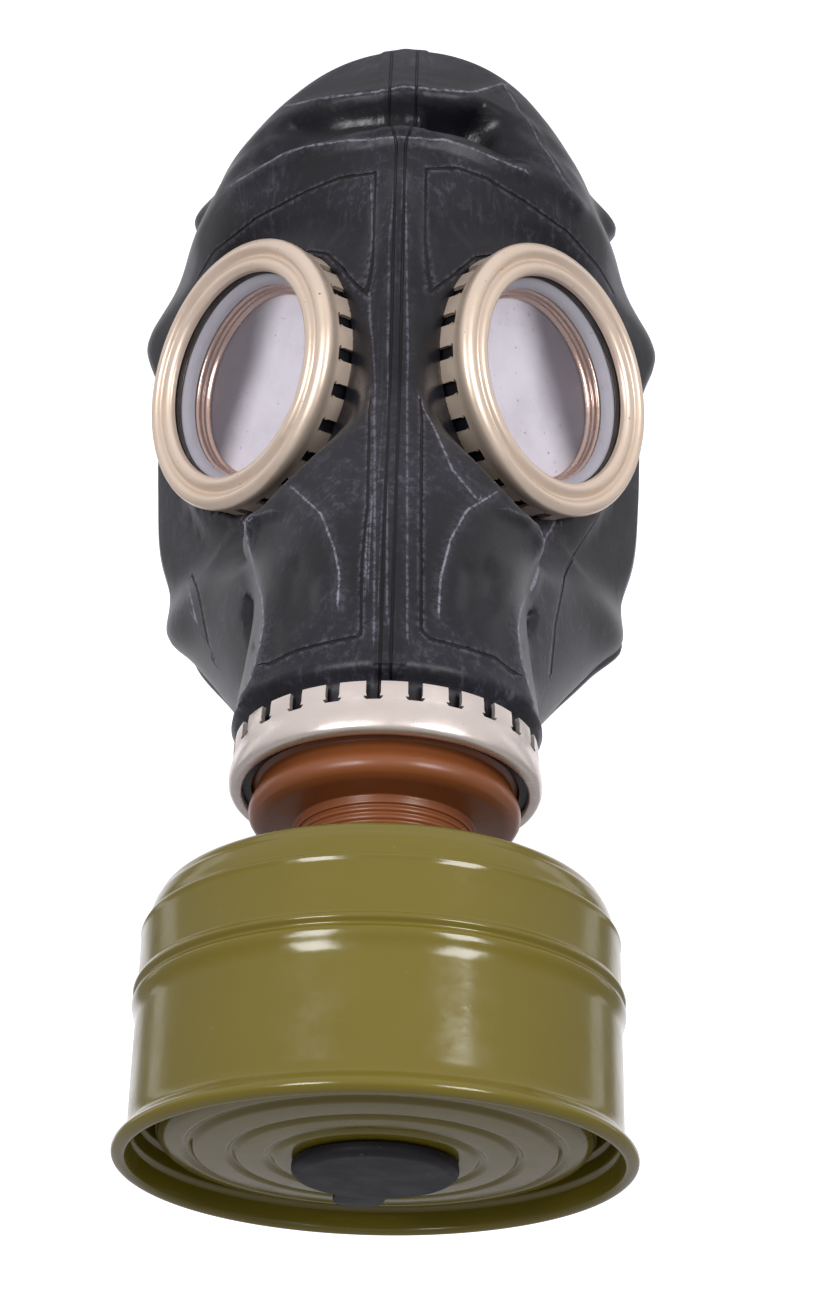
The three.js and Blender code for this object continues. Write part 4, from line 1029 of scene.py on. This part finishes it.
# %% Canister
CAN = [  # radius, height above the rolled rim, rounding
    (15.2, 8.0, 0), (15.2, 0.0, 0.4), (22.6, 0.1, 0.6), (24.0, 1.3, 0.6), (25.4, 0.3, 0.6),
    (31.3, 0.6, 0.6), (32.6, 1.9, 0.6), (33.9, 0.8, 0.6), (41.0, 1.3, 0.7), (42.4, 2.8, 0.7),
    (43.8, 1.9, 0.7), (48.2, 2.6, 1.6), (49.9, 5.2, 1.4), (50.3, 13.9, 0.8), (53.2, 13.9, 0.8),
    (53.4, 8.6, 0.5), (54.6, 7.8, 0.5), (54.8, 4.6, 0.5), (55.8, 3.8, 0.5), (55.9, 0.2, 0.6),
    (56.1, -1.5, 0.9), (57.5, -2.0, 0.9),
    (59.3, -1.0, 1.0), (59.5, 0.5, 0.9), (58.3, 1.9, 0.9), (56.6, 3.2, 1.2), (56.25, 5.2, 1.0),
    (56.25, 30.4, 1.5), (57.2, 33.2, 0.9), (57.3, 34.4, 0.5), (56.5, 35.3, 0.4), (56.5, 35.9, 0.4),
    (57.3, 36.7, 0.5), (57.2, 37.5, 0.6), (56.25, 38.4, 0.7), (56.25, 50.2, 0.5), (56.5, 51.2, 0.35),
    (56.1, 51.9, 0.35), (55.2, 52.2, 0.5), (54.9, 54.4, 0.8), (54.1, 57.2, 1.0), (53.6, 57.9, 0.5),
    (52.6, 60.2, 1.3), (48.5, 62.4, 3.0), (40.0, 62.9, 1.0), (18.8, 62.9, 0.4), (18.8, 74.9, 0.4),
    (16.8, 74.9, 0.3), (16.8, 60.9, 0.3), (0.0, 60.9, 0),
]
drum = spun([(r, z + CAN_RIM) for r, z in rounded([(0.0, 8.0, 0), *CAN])], 192)
face_outwards(drum)
finished("canister_drum", drum, enamel, "canister")

# %% [markdown]
# The plug is a thick disc with a soft edge. Its tab is a rounded tongue that lies across the plate
# and sticks out past the disc, towards the back.

# %% Inlet plug
PLUG = [(0, 7.5, 0), (15.0, 7.5, 0.3), (15.0, -0.35, 0.3), (18.9, -0.35, 0.4), (19.0, -2.4, 0.8),
        (17.6, -3.5, 0.8), (0, -3.5, 0)]
TAB_WIDTH, TAB_REACH, TAB_THICK = 12.0, 27.3, 2.0
plug = spun([(r, z + CAN_RIM) for r, z in rounded(PLUG)], 96)
face_outwards(plug)
tab = bmesh.new()
half = TAB_WIDTH / 2
outline = [(-half, 8.0), (half, 8.0)]
for k in range(13):
    a = math.pi * k / 12
    outline.append((half * math.cos(a), TAB_REACH - 5.0 + 5.0 * math.sin(a)))
tab_face = tab.faces.new([tab.verts.new((x, y, CAN_RIM - 3.2)) for x, y in outline])
lifted = bmesh.ops.extrude_face_region(tab, geom=[tab_face])["geom"]
raised = [g for g in lifted if isinstance(g, bmesh.types.BMVert)]
bmesh.ops.translate(tab, verts=raised, vec=(0, 0, TAB_THICK))
bmesh.ops.bevel(
    tab, geom=tab.edges[:], offset=0.5, segments=2, affect="EDGES", profile=0.5, material=-1,
)
face_outwards(tab)
tab.transform(Matrix.Rotation(math.radians(11), 4, "Z"))
join(plug, tab)
finished("inlet_plug_rubber", plug, plug_rubber, "inlet_plug")

# %% [markdown]
# ## Studio
# The photograph was taken in soft light before a white ground, so the wall of the pale sweep glows
# white behind the mask, and a weak tent of light fills in all round. Two soft boxes near the camera
# show as pale patches on the enamel, and two tall, faint ones light the sides.

# %% Studio
bpy.context.scene.view_settings.view_transform = "Standard"
sweep_material, tree, output, where = new_material("pale_paper")
wall = add(tree, "ShaderNodeSeparateXYZ", {0: where}).outputs
above_floor = remap(tree, wall["Z"], -0.88, -0.72, 0.0, 0.95)
lit = math_node(tree, "MULTIPLY", above_floor, remap(tree, wall["Z"], 0.48, 0.75, 1.0, 0.0))
from_middle = math_node(tree, "ABSOLUTE", wall["X"])
lit = math_node(tree, "MULTIPLY", lit, remap(tree, from_middle, 0.90, 1.30, 1.0, 0.0))
paper = add(tree, "ShaderNodeBsdfPrincipled", {
    "Base Color": srgb("#b6b6b8"), "Roughness": 0.9, "Emission Color": (0.975, 0.96, 1.0, 1),
    "Emission Strength": lit,
})
tree.links.new(paper.outputs[0], output.inputs[0])
FLOOR, NEAR, FAR, BEND, TOP, SIDE = -0.9, -2.2, 0.9, 0.5, 1.8, 2.4
side_line = [(NEAR, FLOOR)] + [
    (FAR + BEND * math.sin(math.pi / 2 * k / 12), FLOOR + BEND * (1 - math.cos(math.pi / 2 * k / 12)))
    for k in range(13)
] + [(FAR + BEND, TOP)]
sweep = bmesh.new()
left_edge = [sweep.verts.new((-SIDE, y, z)) for y, z in side_line]
edges = [sweep.edges.new(pair) for pair in zip(left_edge, left_edge[1:])]
made = bmesh.ops.extrude_edge_only(sweep, edges=edges)["geom"]
far_side = [g for g in made if isinstance(g, bmesh.types.BMVert)]
bmesh.ops.translate(sweep, verts=far_side, vec=(2 * SIDE, 0, 0))
mesh = bpy.data.meshes.new("floor")
sweep.to_mesh(mesh)
sweep.free()
mesh.materials.append(sweep_material)
mesh.polygons.foreach_set("use_smooth", [True] * len(mesh.polygons))
floor = bpy.data.objects.new("floor", mesh)
bpy.context.collection.objects.link(floor)

world = bpy.data.worlds.new("tent")
bpy.context.scene.world = world
world.use_nodes = True
tree = world.node_tree
sky = add(tree, "ShaderNodeTexCoord").outputs["Generated"]
upward = add(tree, "ShaderNodeSeparateXYZ", {0: sky}).outputs["Z"]
tree.nodes["Background"].inputs[0].default_value = (0.985, 0.965, 1.0, 1)
tree.links.new(remap(tree, upward, -0.3, 0.75, 0.30, 0.85), tree.nodes["Background"].inputs[1])


def soft_box(name, place, target, width, height, watts):
    light = bpy.data.lights.new(name, "AREA")
    light.shape, light.size, light.size_y, light.energy = "RECTANGLE", width, height, watts
    lamp = bpy.data.objects.new(name, light)
    lamp.location = place
    lamp.rotation_euler = (Vector(target) - Vector(place)).to_track_quat("-Z", "Y").to_euler()
    bpy.context.collection.objects.link(lamp)


middle = (0, -0.07, -0.16)
soft_box("left_box", (-0.42, -0.85, 0.12), middle, 0.26, 0.34, 3.9)
soft_box("right_box", (0.52, -0.75, 0.14), middle, 0.26, 0.34, 3.6)
for side in (-1, 1):
    soft_box(f"side_box_{side + 2}", (side * 0.95, 0.5, 0.05), (0, -0.12, -0.28), 0.22, 0.9, 0.6)
print("soft boxes:", len(bpy.data.lights))

# %% [markdown]
# ## The camera in its place
# The numbers solved at the start now place the camera, so the picture has the photograph's angle.

# %% Camera
lens = bpy.data.cameras.new("camera")
lens.sensor_fit = "VERTICAL"
lens.sensor_height = 24
lens.lens = FOCAL_PX / PHOTO_HEIGHT * lens.sensor_height
lens.clip_start = 0.01
camera = bpy.data.objects.new("camera", lens)
bpy.context.collection.objects.link(camera)
turned_to = Matrix((right, up, -forward)).transposed().to_4x4()
camera.matrix_world = Matrix.Translation(camera_place) @ turned_to
bpy.context.scene.camera = camera
print("camera lens:", round(lens.lens, 1), "mm")
